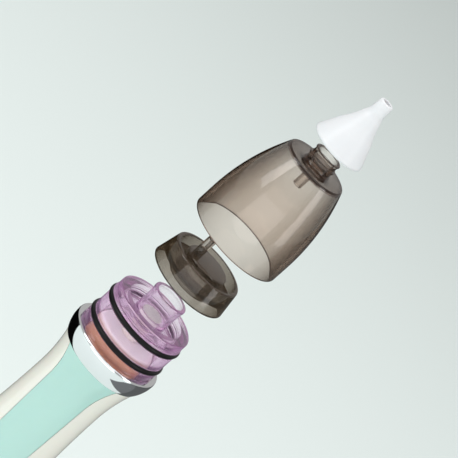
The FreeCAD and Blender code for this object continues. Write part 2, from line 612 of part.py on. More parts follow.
    def round_edges(self, radius, wanted, kind="Fillet"):
        """Rounds (or chamfers) the edges for which wanted(edge) is true."""
        base = self.body.Tip
        names = ["Edge" + str(index + 1) for index, edge in enumerate(base.Shape.Edges) if wanted(edge)]
        if not names:
            raise ValueError(self.label + ": no edge to round")
        made = self.body.newObject("PartDesign::" + kind,
                                   self.label + "_" + kind.lower() + str(self.sketches))
        made.Base = (base, names)
        name = "Radius" if kind == "Fillet" else "Size"
        setattr(made, name, float(radius))
        bind(made, name, radius)
        self.body.Tip = made
        doc.recompute()
        return made


def ring_at(height, radius=None, slack=0.01):
    """Picks whole-circle edges lying at a height, and of a radius if one is given."""
    def wanted(edge):
        box = edge.BoundBox
        flat = abs(box.ZMin - float(height)) < slack and abs(box.ZMax - float(height)) < slack
        if not flat or not hasattr(edge.Curve, "Radius"):
            return False
        return radius is None or abs(edge.Curve.Radius - float(radius)) < slack
    return wanted


def rectangle(low_x, low_y, high_x, high_y):
    return [(low_x, low_y), (high_x, low_y), (high_x, high_y), (low_x, high_y)]


def rounded_box(half_wide, low, tall, corner):
    """A rounded rectangle, symmetric about the axis, as outline items."""
    high = low + tall
    return [(-half_wide + corner, low, corner, -1), (half_wide - corner, low),
            (half_wide, low + corner, corner, -1), (half_wide, high - corner),
            (half_wide - corner, high, corner, -1), (-half_wide + corner, high),
            (-half_wide, high - corner, corner, -1), (-half_wide, low + corner)]


# ---------------------------------------------------------------- handle shells

# The outside of the handle is one line: out to the belly, in to the waist, and out again to the collar.
middle_r = (belly_r + waist_r) / 2
middle_height = (belly_height + waist_height) / 2
shoulder_height = housing_top - collar_tall
neck_top = housing_top - collar_seat_deep - slip
clamp_high = housing_top - clamp_drop
clamp_low = clamp_high - clamp_tall
neck_low = clamp_low - neck_root
HANDLE_LINE = [
    (foot_r, shell_foot),
    (belly_r, belly_height, bow(belly_r - foot_r, belly_height - shell_foot), -1),
    (middle_r, middle_height, bow(belly_r - middle_r, middle_height - belly_height), -1),
    (waist_r, waist_height, bow(middle_r - waist_r, waist_height - middle_height), 1),
    (shoulder_r, shoulder_height, bow(shoulder_r - waist_r, shoulder_height - waist_height), 1),
]


def handle_layer(outer, inner):
    """Outline of a layer of the shell between two depths below the outside."""
    up = [(item[0] - outer,) + item[1:] for item in HANDLE_LINE]
    down = [(HANDLE_LINE[-1][0] - inner, HANDLE_LINE[-1][1])]
    for index in range(len(HANDLE_LINE) - 1, 0, -1):
        target, curve = HANDLE_LINE[index - 1], HANDLE_LINE[index]
        down.append((target[0] - inner, target[1], curve[2], -curve[3]))
    return up + down


def panel_line(grow):
    """Outline of the front panel: wide under the collar, narrowing to a rounded end; grow adds a border."""
    top, middle, end = panel_top_half + grow, panel_mid_half + grow, panel_end_half + grow
    above = shoulder_height
    return [(top, above, panel_flare, 1), (-top, above), (-middle, panel_mid_height, panel_flare, 1),
            (-end, panel_end_height), (0.0, panel_end_height - end, end, -1), (end, panel_end_height, end, -1),
            (middle, panel_mid_height)]


def cover_line(grow):
    return rounded_box(cover_half + grow, cover_low - grow, cover_tall + grow * 2, cover_round + grow)


REACH = 30.0        # long enough to pass through a wall
NO_DEPTH = 0.0


def make_shell(label, to_front):
    """Half of the handle: outer skin with its pocket, inner layer, neck, clamp rib and ledge."""
    piece = Piece(label)
    piece.spin(handle_layer(NO_DEPTH, skin), HALF_TURN, to_front)
    if to_front:
        piece.cut(piece.outline(panel_line(seam), "XZ"), REACH)
    else:
        piece.cut(piece.outline(cover_line(seam), "XZ"), REACH, flip=True)
    piece.spin(handle_layer(skin, wall), HALF_TURN, to_front)
    piece.spin(rectangle(neck_bore_r, neck_low, neck_r, neck_top), HALF_TURN, to_front)
    piece.spin(rectangle(clamp_r, clamp_low, neck_bore_r + fit, clamp_high), HALF_TURN, to_front)
    ledge_out = foot_r - wall + rib_root
    piece.spin(rectangle(ledge_r, ledge_low, ledge_out, ledge_high), HALF_TURN, to_front)
    bosses = [(side * case_screw_x, case_screw_height, case_boss_r) for side in (-1, 1)]
    piece.pad(piece.circles(bosses, "XZ"), case_boss_deep, flip=not to_front)
    return piece


front = make_shell("front_shell", True)
front.cut(front.circles([(0.0, button_height, button_r + slip)], "XZ", skin), REACH)
front.cut(front.circles([(0.0, light_height + light_pitch * index, light_r + fit) for index in range(LIGHTS)],
                        "XZ", skin), REACH)
front.cut(front.circles([(side * case_screw_x, case_screw_height, screw_r + fit) for side in (-1, 1)], "XZ"),
          case_boss_deep - screw_end_wall)

rear = make_shell("rear_shell", False)
rear.cut(rear.circles([(side * case_screw_x, case_screw_height, screw_r + slip) for side in (-1, 1)], "XZ"),
         REACH, flip=True)
head_seat = case_boss_deep - screw_head_tall
rear.cut(rear.circles([(side * case_screw_x, case_screw_height, screw_head_r + slip) for side in (-1, 1)],
                      "XZ", -head_seat), REACH, flip=True)
port_line = rounded_box(socket_half + seam, charge_low + charge_thick - seam, socket_tall + seam * 2,
                        socket_tall / 2)
rear.cut(rear.outline(port_line, "XZ"), REACH, flip=True)
for index in range(VENTS):
    slot = rounded_box(vent_half, vent_low + vent_pitch * index, vent_tall, vent_tall / 2 - running)
    rear.cut(rear.outline(slot, "XZ"), REACH, flip=True)


def curved_plate(label, line, to_front):
    """A plate cut from the outer layer of the handle, following its curve."""
    piece = Piece(label)
    piece.pad(piece.outline(line, "XZ"), REACH, flip=not to_front)
    outside = [(item[0],) + item[1:] for item in HANDLE_LINE]
    piece.groove(outside + [(HANDLE_LINE[-1][0] + REACH, HANDLE_LINE[-1][1]),
                            (HANDLE_LINE[-1][0] + REACH, HANDLE_LINE[0][1])])
    inside = [(item[0] - skin + fit,) + item[1:] for item in HANDLE_LINE]
    piece.groove([(0.0, HANDLE_LINE[0][1])] + inside + [(0.0, HANDLE_LINE[-1][1])])
    return piece


panel = curved_plate("front_panel", panel_line(0.0), True)
panel.cut(panel.circles([(0.0, button_height, button_r + slip)], "XZ"), REACH)
panel.cut(panel.circles([(0.0, light_height + light_pitch * index, light_r + fit) for index in range(LIGHTS)],
                        "XZ"), REACH)

cover = curved_plate("port_cover", cover_line(0.0), False)
plug_half = socket_half - socket_sheet - seam
plug_low = charge_low + charge_thick + socket_sheet + seam
plug_tall = socket_tall - socket_sheet * 2 - seam * 2
plug_face = foot_r - skin - cover_plug
cover.pad(cover.outline(rounded_box(plug_half, plug_low, plug_tall, plug_tall / 2 - running),
                        "XZ", -plug_face),
          cover_plug + rib_root, flip=True)

# ---------------------------------------------------------------- button, lights and main board

# The button slides in the hole through panel and shell; its flange keeps it in and its stem meets the switch.
button = Piece("power_button", (0.0, 0.0, button_height))
flange_back = button_flange_front - button_flange_thick
switch_face = board_front + switch_deep + plunger_long
stem_end = switch_face + button_travel + slip
button.pad(button.circles([(0.0, 0.0, button_flange_r)], "XZ", flange_back), button_flange_thick)
button.pad(button.circles([(0.0, 0.0, button_r)], "XZ", button_flange_front),
           button_face - button_flange_front)
button.pad(button.circles([(0.0, 0.0, plunger_r)], "XZ", stem_end), flange_back - stem_end)
button.round_edges(button_round, lambda edge: edge.BoundBox.YMax < -float(button_face) + 0.01)

board = Piece("main_board")
board.pad(board.box_outline(-board_wide / 2, board_low, board_wide / 2, board_low + board_tall, "XZ",
                            board_front - board_thick), board_thick)

switch = Piece("tact_switch", (0.0, 0.0, button_height))
switch.pad(switch.box_outline(-switch_wide / 2, -switch_wide / 2, switch_wide / 2, switch_wide / 2, "XZ",
                              board_front), switch_deep)
switch.pad(switch.circles([(0.0, 0.0, plunger_r)], "XZ", board_front + switch_deep), plunger_long)

leds = Piece("indicator_leds")
for index in range(LIGHTS):
    height = light_height + light_pitch * index
    leds.pad(leds.box_outline(-light_r, height - light_r, light_r, height + light_r, "XZ", board_front),
             light_r)

guide_front = waist_r - wall - slip
guide = Piece("light_guide")
guide_top = light_height + light_pitch * (LIGHTS - 1)
guide.pad(guide.box_outline(-light_r * 2, light_height - light_r * 2, light_r * 2, guide_top + light_r * 2,
                            "XZ", guide_front - guide_thick), guide_thick)
guide.pad(guide.circles([(0.0, light_height + light_pitch * index, light_r) for index in range(LIGHTS)],
                        "XZ", guide_front - guide_thick), belly_r - seam - guide_front + guide_thick)

# The chips: controller, motor driver and charge controller, each a small flat block on the board.
chip_spots = [(-chip_side, light_height + chip_side * 2, chip_side),
              (chip_side, light_height + chip_side * 2, driver_side),
              (-chip_side, board_low + chip_side, charger_side)]
chips = Piece("board_chips")
for across, height, side in chip_spots:
    chips.pad(chips.box_outline(across - side / 2, height - side / 2, across + side / 2, height + side / 2,
                                "XZ", board_front), chip_thick)

# ---------------------------------------------------------------- inner frame

frame = Piece("inner_frame")
frame_high = motor_low - slip
frame.pad(frame.circles([(0.0, 0.0, shelf_r)], "XY", shelf_low), shelf_thick)
frame.pad(frame.box_outline(-frame_wide / 2, shelf_low, frame_wide / 2, frame_high, "XZ",
                            frame_front - frame_thick), frame_thick)
ring = frame.circles([(0.0, 0.0, top_shelf_r), (0.0, 0.0, top_shelf_bore_r)], "XY", frame_high - shelf_thick)
frame.pad(ring, shelf_thick)
bridge_front = board_front - board_thick - slip
frame.pad(frame.box_outline(-frame_wide / 2, -bridge_front, frame_wide / 2, -frame_front + frame_thick,
                            "XY", frame_high - shelf_thick), shelf_thick)
pegs = [(side * (board_wide / 2 - post_r), height, post_r * 0.7) for side in (-1, 1)
        for height in (board_low + post_r * 2, board_low + board_tall - post_r * 2)]
frame.pad(frame.circles(pegs, "XZ", frame_front - fit), bridge_front - frame_front + fit)
frame.pad(frame.circles([(side * leg_x, 0.0, leg_r) for side in (-1, 1)], "XY", leg_low),
          shelf_low - leg_low + fit)
frame.cut(frame.circles([(side * leg_x, 0.0, screw_r + fit) for side in (-1, 1)], "XY", leg_low - slip),
          shelf_low - leg_low - screw_end_wall)
gap_half = chip_side
for near, far in ((shelf_r / 2, shelf_r * 2), (-shelf_r * 2, -board_front + board_thick)):
    frame.cut(frame.box_outline(-gap_half, near, gap_half, far, "XY", shelf_low - slip),
              shelf_thick + slip * 2)
lead_gate = wire_r * 2
for side in (-1, 1):
    middle = side * lead_across
    frame.cut(frame.box_outline(middle - lead_gate, frame_high - shelf_thick - lead_gate_tall,
                                middle + lead_gate, frame_high - shelf_thick,
                                "XZ", frame_front - frame_thick * 2), frame_thick * 3)

# ---------------------------------------------------------------- battery

cell = Piece("battery_cell", (0.0, cell_back, cell_low))
cell.pad(cell.circles([(0.0, 0.0, cell_r)]), cell_tall)
cell.round_edges(cell_round, lambda edge: hasattr(edge.Curve, "Radius"))
cell.pad(cell.circles([(0.0, 0.0, cell_nub_r)], "XY", cell_tall - fit), cell_nub_tall + fit)

tab_half = tab_wide / 2
for label, foot in (("battery_tab_lower", -tab_thick - fit), ("battery_tab_upper", cell_tall + cell_nub_tall)):
    tab = Piece(label, (0.0, cell_back, cell_low + foot))
    tab.pad(tab.box_outline(-tab_half, -cell_r, tab_half, tab_half), tab_thick)

# ---------------------------------------------------------------- charging board, socket

charge = Piece("charge_board", (0.0, 0.0, charge_low))
charge.pad(charge.box_outline(-charge_half, -charge_front, charge_half, charge_back), charge_thick)

usb = Piece("charging_socket")
socket_low = charge_low + charge_thick
usb.pad(usb.outline(rounded_box(socket_half, socket_low, socket_tall, socket_tall / 2 - running), "XZ",
                    -socket_back), socket_back - socket_front)
inner_tall = socket_tall - socket_sheet * 2
usb.cut(usb.outline(rounded_box(socket_half - socket_sheet, socket_low + socket_sheet, inner_tall,
                                inner_tall / 2 - running), "XZ", -socket_back - slip),
        socket_back - socket_front - socket_end)
tongue_low = socket_low + (socket_tall - tongue_thick) / 2
tongue_end = socket_back - tongue_back
usb.pad(usb.box_outline(-tongue_half, tongue_low, tongue_half, tongue_low + tongue_thick, "XZ", -tongue_end),
        tongue_end - socket_front - socket_end + fit)

charge_chip = Piece("charge_chip", (0.0, 0.0, charge_low + charge_thick))
charge_chip.pad(charge_chip.box_outline(-chip_side / 2, -chip_side, chip_side / 2, 0.0), chip_thick)

# ---------------------------------------------------------------- base

base = Piece("base_cap")
cap_low = foot_proud
plug_r = foot_r - wall - slip
floor_top = shell_foot - base_floor_drop
base.spin([(0.0, cap_low), (foot_r - base_round, cap_low), (foot_r, cap_low + base_round, base_round, -1),
           (foot_r, shell_foot), (plug_r, shell_foot), (plug_r, shell_foot + base_plug_tall),
           (plug_r - base_plug_wall, shell_foot + base_plug_tall), (plug_r - base_plug_wall, floor_top),
           (0.0, floor_top)])
base.groove([(0.0, 0.0), (foot_pad_r + fit, 0.0), (foot_pad_r + fit, foot_thick + fit),
             (0.0, foot_thick + fit)])
base.pad(base.circles([(side * post_x, ahead * post_y, post_r) for side in (-1, 1) for ahead in (-1, 1)], "XY",
                      floor_top - fit), charge_low - floor_top)
base.cut(base.circles([(side * leg_x, 0.0, screw_r + slip) for side in (-1, 1)]), shell_foot)
base.cut(base.circles([(side * leg_x, 0.0, screw_head_r + slip) for side in (-1, 1)]),
         foot_thick + screw_head_tall + slip * 3)

pad_piece = Piece("base_foot")
pad_piece.pad(pad_piece.circles([(0.0, 0.0, foot_pad_r)]), foot_thick)
pad_piece.round_edges(foot_round, lambda edge: edge.BoundBox.ZMax < 0.01)


def add_screw(piece, spot, head_top, thread_r, head_r, head_tall, long):
    """An upright screw with a flat head and a cross slot; a negative length puts the head below."""
    across, side = spot
    up = long > 0
    length = long if up else -long
    if up:
        piece.pad(piece.circles([(across, side, head_r)], "XY", head_top - head_tall), head_tall)
        piece.pad(piece.circles([(across, side, thread_r)], "XY", head_top - head_tall), length, flip=True)
    else:
        piece.pad(piece.circles([(across, side, head_r)], "XY", head_top), head_tall)
        piece.pad(piece.circles([(across, side, thread_r)], "XY", head_top + head_tall), length)
    for wide, tall in ((drive_reach, drive_half), (drive_half, drive_reach)):
        slot_box = piece.box_outline(across - wide, side - tall, across + wide, side + tall, "XY", head_top)
        piece.cut(slot_box, drive_deep, flip=up)


base_screws = Piece("base_screws")
for side in (-1, 1):
    add_screw(base_screws, (side * leg_x, 0.0), foot_thick + slip * 2, screw_r, screw_head_r, screw_head_tall,
              -case_boss_deep)

case_screws = Piece("case_screws")
for side in (-1, 1):
    spot = (side * case_screw_x, case_screw_height)
    case_screws.pad(case_screws.circles([spot + (screw_head_r,)], "XZ", -head_seat - slip), screw_head_tall,
                    flip=True)
    case_screws.pad(case_screws.circles([spot + (screw_r,)], "XZ", -head_seat - slip),
                    head_seat + case_screw_bite)
    for wide, tall in ((drive_reach, drive_half), (drive_half, drive_reach)):
        slot_box = case_screws.box_outline(spot[0] - wide, spot[1] - tall,
                                           spot[0] + wide, spot[1] + tall, "XZ",
                                           -head_seat - slip - screw_head_tall)
        case_screws.cut(slot_box, drive_deep)

# ---------------------------------------------------------------- motor

can = Piece("motor_can")
can_inner = motor_r - motor_wall
can.spin([(shaft_r + shaft_room, motor_high - motor_wall), (can_inner, motor_high - motor_wall),
          (can_inner, motor_low + end_cap_thick / 2), (motor_r, motor_low + end_cap_thick / 2),
          (motor_r, motor_high), (motor_boss_r, motor_high), (motor_boss_r, motor_high + motor_boss_tall),
          (bearing_r + fit, motor_high + motor_boss_tall), (bearing_r + fit, motor_high - motor_wall / 2),
          (shaft_r + shaft_room, motor_high - motor_wall / 2)])
can.round_edges(motor_round, ring_at(motor_high, motor_r))
can.cut(can.circles([(0.0, side * motor_screw_ring, pump_screw_r + fit) for side in (-1, 1)], "XY",
                    motor_high - motor_wall - slip), motor_wall + slip * 2)

end_cap = Piece("motor_end_cap")
end_cap.spin([(bearing_r + fit, motor_low), (motor_r, motor_low), (motor_r, motor_low + end_cap_thick / 2),
              (can_inner - fit, motor_low + end_cap_thick / 2), (can_inner - fit, motor_low + end_cap_thick),
              (bearing_r + bearing_collar, motor_low + end_cap_thick),
              (bearing_r + bearing_collar, motor_low + end_cap_thick + bearing_collar),
              (bearing_r + fit, motor_low + end_cap_thick + bearing_collar)])

for label, low in (("motor_bearing_upper", motor_high - motor_wall / 2 + fit),
                   ("motor_bearing_lower", motor_low + bearing_collar)):
    bearing = Piece(label, (0.0, 0.0, low))
    bearing.pad(bearing.circles([(0.0, 0.0, bearing_r), (0.0, 0.0, shaft_r + running)]), bearing_tall)

magnets = Piece("motor_magnets")
magnet_out = can_inner - fit
half_arc = magnet_angle / 2
for side in (0.0, HALF_TURN):
    magnet_in = magnet_out - magnet_thick
    first_corner = [turned((radius, 0.0), side - half_arc) for radius in (magnet_out, magnet_in)]
    last_corner = [turned((radius, 0.0), side + half_arc) for radius in (magnet_in, magnet_out)]
    middle_out = turned((magnet_out, 0.0), Size(side))
    middle_in = turned((magnet_out - magnet_thick, 0.0), Size(side))
    shape = [first_corner[0], middle_out + (magnet_out, -1), last_corner[1] + (magnet_out, -1),
             last_corner[0],
             middle_in + (magnet_out - magnet_thick, 1), first_corner[1] + (magnet_out - magnet_thick, 1)]
    magnets.pad(magnets.outline(shape, "XY", magnet_low), magnet_tall)

brushes = Piece("motor_brushes")
for side in (-1, 1):
    near, far = side * (commutator_r + fit), side * (commutator_r + fit + brush_long)
    brushes.pad(brushes.box_outline(near, -brush_wide / 2, far, brush_wide / 2, "XY",
                                    commutator_low + brush_lift), brush_wide)

terminals = Piece("motor_terminals")
for side in (-1, 1):
    across = side * terminal_x
    terminals.pad(terminals.box_outline(across - tab_thick, -brush_wide / 2,
                                        across + tab_thick, brush_wide / 2,
                                        "XY", motor_low - terminal_tall), terminal_tall - fit)

shaft = Piece("motor_shaft")
shaft.pad(shaft.circles([(0.0, 0.0, shaft_r)], "XY", motor_low + bearing_collar),
          shaft_high - motor_low - bearing_collar)
shaft.round_edges(shaft_chamfer, lambda edge: edge.BoundBox.ZMin > float(shaft_high) - 0.01, "Chamfer")

core = Piece("armature_core", (0.0, 0.0, core_low))
core_r = magnet_out - magnet_thick - air_gap
core.pad(core.circles([(0.0, 0.0, core_r), (0.0, 0.0, shaft_r)]), core_tall)
for index in range(CHAMBERS):
    angle = Size(FULL_TURN / CHAMBERS * index)
    low_side, high_side = -slot_wide / 2, slot_wide / 2
    corners = [turned(point, angle) for point in ((slot_deep_r, low_side), (core_r + slip, low_side),
                                                  (core_r + slip, high_side), (slot_deep_r, high_side))]
    core.cut(core.outline(corners, "XY"), core_tall)

coils = Piece("armature_coils", (0.0, 0.0, core_low + seam))
coil_r = core_r - coil_inset
for index in range(CHAMBERS):
    angle = Size(FULL_TURN / CHAMBERS * index)
    half = slot_wide / 2 - fit
    corners = [turned(point, angle) for point in ((slot_deep_r + fit, -half), (coil_r, -half),
                                                  (coil_r, half), (slot_deep_r + fit, half))]
    coils.pad(coils.outline(corners, "XY"), core_tall - seam * 2)

commutator = Piece("commutator", (0.0, 0.0, commutator_low))
commutator.pad(commutator.circles([(0.0, 0.0, commutator_r), (0.0, 0.0, shaft_r)]), commutator_tall)

# ---------------------------------------------------------------- wobble pump

# The slanted crank pin is held off centre in the eccentric and meets the axis at the tilt point, so the
# three-armed rocker nods round without turning and works the three cups of the diaphragm in turn.
eccentric = Piece("eccentric")
eccentric.spin([(shaft_r, eccentric_low), (eccentric_r, eccentric_low), (eccentric_r, eccentric_high),
                (0.0, eccentric_high), (0.0, shaft_high), (shaft_r, shaft_high)])
pin_low = pin_long - pin_over

pin = Piece("crank_pin", (0.0, 0.0, pivot_height), pin_slant)
pin.pad(pin.circles([(0.0, 0.0, pin_r)], "XY", -pin_low), pin_long)
pin.round_edges(pin_r / 2, lambda edge: edge.BoundBox.ZMin > 0)

rocker = Piece("rocker", (0.0, 0.0, pivot_height), pin_slant)
rocker.pad(rocker.circles([(0.0, 0.0, rocker_hub_r), (0.0, 0.0, pin_r + running)], "XY", -rocker_hub_low),
           rocker_hub_low - rocker_hub_top)
arm_root = (pin_r + rocker_hub_r) / 2
for index in range(CHAMBERS):
    angle = Size(FULL_TURN / CHAMBERS * index)
    half = rocker_arm_wide / 2
    corners = [turned(point, angle) for point in ((arm_root, -half / 2), (rocker_reach - half, -half),
                                                  (rocker_reach, 0.0), (rocker_reach - half, half),
                                                  (arm_root, half / 2))]
    corners[2], corners[3] = corners[2] + (half, -1), corners[3] + (half, -1)
    rocker.pad(rocker.outline(corners, "XY", -rocker_arm_top - rocker_arm_thick), rocker_arm_thick)
    spot = turned((chamber_ring, 0.0), angle)
    rocker.cut(rocker.circles([spot + (stem_r + stem_play,)], "XY", -rocker_arm_top - rocker_arm_thick * 2),
               rocker_arm_thick * 3)

pump_base = Piece("pump_base")
pump_base.spin([(motor_boss_r + slip, motor_high), (pump_r, motor_high), (pump_r, pivot_height),
                (pump_r - pump_wall, pivot_height), (pump_r - pump_wall, motor_high + pump_floor),
                (motor_boss_r + slip, motor_high + pump_floor)])
screw_spots = [turned((pump_screw_ring, 0.0), Size(FULL_TURN / CHAMBERS * (index + 0.5)))
               for index in range(CHAMBERS)]
pump_base.pad(pump_base.circles([spot + (pump_screw_head_r + slip,) for spot in screw_spots], "XY",
                                motor_high + pump_floor - fit), pivot_height - motor_high - pump_floor + fit)
pump_base.cut(pump_base.circles([spot + (pump_screw_r + fit,) for spot in screw_spots], "XY",
                                pivot_height - pump_screw_hole), pump_screw_hole)
pump_base.cut(pump_base.circles([(0.0, side * motor_screw_ring, pump_screw_r + slip)
                                 for side in (-1, 1)], "XY",
                                motor_high), pump_floor * 2)

mount_screws = Piece("motor_mount_screws")
for side in (-1, 1):
    add_screw(mount_screws, (0.0, side * motor_screw_ring), motor_high + pump_floor + pump_screw_head_tall,
              pump_screw_r, pump_screw_head_r, pump_screw_head_tall, pump_floor + motor_wall + mount_screw_end)

chamber_spots = [turned((chamber_ring, 0.0), Size(FULL_TURN / CHAMBERS * index)) for index in range(CHAMBERS)]

holder = Piece("diaphragm_holder", (0.0, 0.0, pivot_height))
holder.pad(holder.circles([(0.0, 0.0, pump_r)]), holder_thick)
holder.cut(holder.circles([spot + (chamber_r,) for spot in chamber_spots]), holder_thick)
holder.cut(holder.circles([(0.0, 0.0, pin_r + slip * 2)]), socket_deep)
holder.cut(holder.circles([spot + (pump_screw_r + slip,) for spot in screw_spots]), holder_thick)

sheet_low = holder_thick
cup_outer = chamber_r - slip
stem_foot = rocker_arm_top + rocker_arm_thick + stem_over
diaphragm = Piece("diaphragm", (0.0, 0.0, pivot_height))
diaphragm.pad(diaphragm.circles([(0.0, 0.0, pump_r)], "XY", sheet_low), sheet_thick)
diaphragm.pad(diaphragm.circles([spot + (cup_outer,) for spot in chamber_spots], "XY", sheet_thick),
              sheet_low - sheet_thick + fit)
diaphragm.cut(diaphragm.circles([spot + (cup_outer - sheet_thick,) for spot in chamber_spots], "XY",
                                sheet_thick * 2), sheet_low)
diaphragm.pad(diaphragm.circles([spot + (stem_r,) for spot in chamber_spots], "XY", -stem_foot),
              stem_foot + sheet_thick + fit)
diaphragm.cut(diaphragm.circles([spot + (pump_screw_r + slip,) for spot in screw_spots], "XY",
                                sheet_low - slip), sheet_thick + slip * 2)

valve_low = pivot_height + holder_thick + sheet_thick
valve_plate = Piece("valve_plate", (0.0, 0.0, valve_low))
valve_plate.pad(valve_plate.circles([(0.0, 0.0, pump_r)]), valve_plate_thick)
inlet_spots = [turned((inlet_ring, 0.0), Size(FULL_TURN / CHAMBERS * index)) for index in range(CHAMBERS)]
outlet_spots = [turned((outlet_ring, 0.0), Size(FULL_TURN / CHAMBERS * index)) for index in range(CHAMBERS)]
valve_plate.cut(valve_plate.circles([spot + (port_r,) for spot in inlet_spots + outlet_spots]),
                valve_plate_thick)
valve_plate.cut(valve_plate.circles([spot + (inlet_flap_r + slip,) for spot in inlet_spots]), flap_recess)
valve_plate.cut(valve_plate.circles([(0.0, 0.0, well_r)], "XY", valve_plate_thick - flap_recess), flap_recess)
valve_plate.cut(valve_plate.circles([spot + (pump_screw_r + slip,) for spot in screw_spots]),
                valve_plate_thick)

inlet_valves = Piece("inlet_valves", (0.0, 0.0, valve_low + fit))
inlet_valves.pad(inlet_valves.circles([spot + (inlet_flap_r,) for spot in inlet_spots]), flap_thick)

outlet_valve = Piece("outlet_valve", (0.0, 0.0, valve_low + valve_plate_thick - flap_recess + fit))
outlet_valve.pad(outlet_valve.circles([(0.0, 0.0, well_r - slip)]), flap_thick)

head_low = valve_low + valve_plate_thick
head_top = head_low + head_thick
pump_head = Piece("pump_head", (0.0, 0.0, head_low))
pump_head.pad(pump_head.circles([(0.0, 0.0, pump_r)]), head_thick)
pump_head.pad(pump_head.circles([(0.0, 0.0, nipple_r)], "XY", head_thick - fit), nipple_tall + fit)
pump_head.cut(pump_head.circles([(0.0, 0.0, spigot_bore_r)], "XY", nipple_bore_low), nipple_tall + head_thick)
pump_head.cut(pump_head.circles([(0.0, 0.0, well_r)]), well_deep)
pump_head.cut(pump_head.circles([(0.0, 0.0, ring_out_r), (0.0, 0.0, ring_in_r)]), ring_deep)
pump_head.cut(pump_head.circles([spot + (pump_screw_r + slip,) for spot in screw_spots]), head_thick)
pump_head.cut(pump_head.circles([spot + (pump_screw_head_r + slip,) for spot in screw_spots], "XY",
                                head_thick - pump_screw_head_tall), pump_screw_head_tall)
pump_head.round_edges(nipple_round, ring_at(head_thick + nipple_tall, nipple_r))

pump_screws = Piece("pump_screws")
for spot in screw_spots:
    add_screw(pump_screws, spot, head_top, pump_screw_r, pump_screw_head_r, pump_screw_head_tall,
              head_thick + valve_plate_thick + sheet_thick + holder_thick
              - pump_screw_head_tall + pump_screw_bite)

hose_low, hose_high = head_top + fit, housing_top + manifold_ceiling - fit
hose = Piece("suction_hose", (0.0, 0.0, hose_low))
hose.pad(hose.circles([(0.0, 0.0, hose_r), (0.0, 0.0, nipple_r + fit)]), hose_high - hose_low)

boot = Piece("pump_boot")
boot.spin([(boot_r - boot_wall, boot_low), (boot_r, boot_low), (boot_r, boot_high - boot_wall),
           (boot_r - boot_wall, boot_high, boot_wall, -1), (hose_r + slip, boot_high),
           (hose_r + slip, boot_high - boot_wall), (boot_r - boot_wall, boot_high - boot_wall)])

# ---------------------------------------------------------------- collar and manifold

collar = Piece("collar_ring", (0.0, 0.0, housing_top))
collar_bore = neck_r + slip
collar.spin([(collar_foot_r, -collar_tall), (collar_r, -collar_edge * 2, collar_bowl, -1),
             (collar_r - collar_edge, 0.0, collar_edge * 2, -1), (collar_seat_r, 0.0),
             (collar_seat_r, -collar_seat_deep), (collar_bore, -collar_seat_deep),
             (collar_bore, -collar_tall)])

manifold = Piece("air_manifold", (0.0, 0.0, housing_top))
clamp_gap_low, clamp_gap_high = clamp_low - housing_top - slip, clamp_high - housing_top + slip
clamp_gap_r = clamp_r - slip
seat = -collar_seat_deep + slip
manifold.spin([
    (manifold_bore_r, -manifold_skirt_deep), (manifold_skirt_r, -manifold_skirt_deep),
    (manifold_skirt_r, clamp_gap_low), (clamp_gap_r, clamp_gap_low), (clamp_gap_r, clamp_gap_high),
    (manifold_skirt_r, clamp_gap_high), (manifold_skirt_r, seat), (manifold_r, seat),
    (manifold_r, rim_low - o_ring_thick / 2 + slip), (rim_neck_r, rim_low - rim_round),
    (rim_neck_r, rim_low), (rim_r - rim_round, rim_low), (rim_r, rim_low + rim_round, rim_round, -1),
    (rim_r, manifold_tall - rim_round), (rim_r - rim_round, manifold_tall, rim_round, -1),
    (recess_r, manifold_tall), (recess_r, manifold_floor), (tube_r, manifold_floor),
    (tube_r, tube_top - tube_lip_tall), (tube_lip_r, tube_top - tube_lip_tall + seam),
    (tube_lip_r, tube_top), (tube_bore_r, tube_top), (tube_bore_r, tube_floor), (filter_r, tube_floor),
    (filter_r, tube_floor - filter_thick), (filter_r - filter_ledge, tube_floor - filter_thick),
    (spigot_bore_r, manifold_ceiling), (spigot_bore_r, spigot_low), (spigot_r - seam, spigot_low),
    (spigot_r, spigot_low + seam * 2), (spigot_r, manifold_ceiling), (manifold_bore_r, manifold_ceiling)])
groove_half = o_ring_thick / 2 + slip
seals = (("lower_o_ring", lower_ring_height, lower_ring_r), ("upper_o_ring", upper_ring_height, upper_ring_r))
for label, height, reach in seals:
    manifold.groove(rectangle(reach - o_ring_thick - fit, height - groove_half,
                              manifold_r + o_ring_thick, height + groove_half))
key_root = (manifold_bore_r + manifold_r) / 2
key_sketch = manifold.box_outline(key_root, -key_wide / 2, key_r, key_wide / 2)
manifold.pad(key_sketch, key_tall)
manifold.pad(manifold.box_outline(-key_r, -key_wide / 2, -key_root, key_wide / 2), key_tall)

for label, height, reach in seals:
    seal = Piece(label, (0.0, 0.0, housing_top + height))
    seal_r = o_ring_thick / 2
    seal.spin([], drawn=seal.circles([(reach - seal_r, 0.0, seal_r)], "XZ"))

filter_disc = Piece("filter_disc", (0.0, 0.0, housing_top + tube_floor - filter_thick + fit))
filter_disc.pad(filter_disc.circles([(0.0, 0.0, filter_r - fit)]), filter_thick - fit)

# ---------------------------------------------------------------- splash baffle

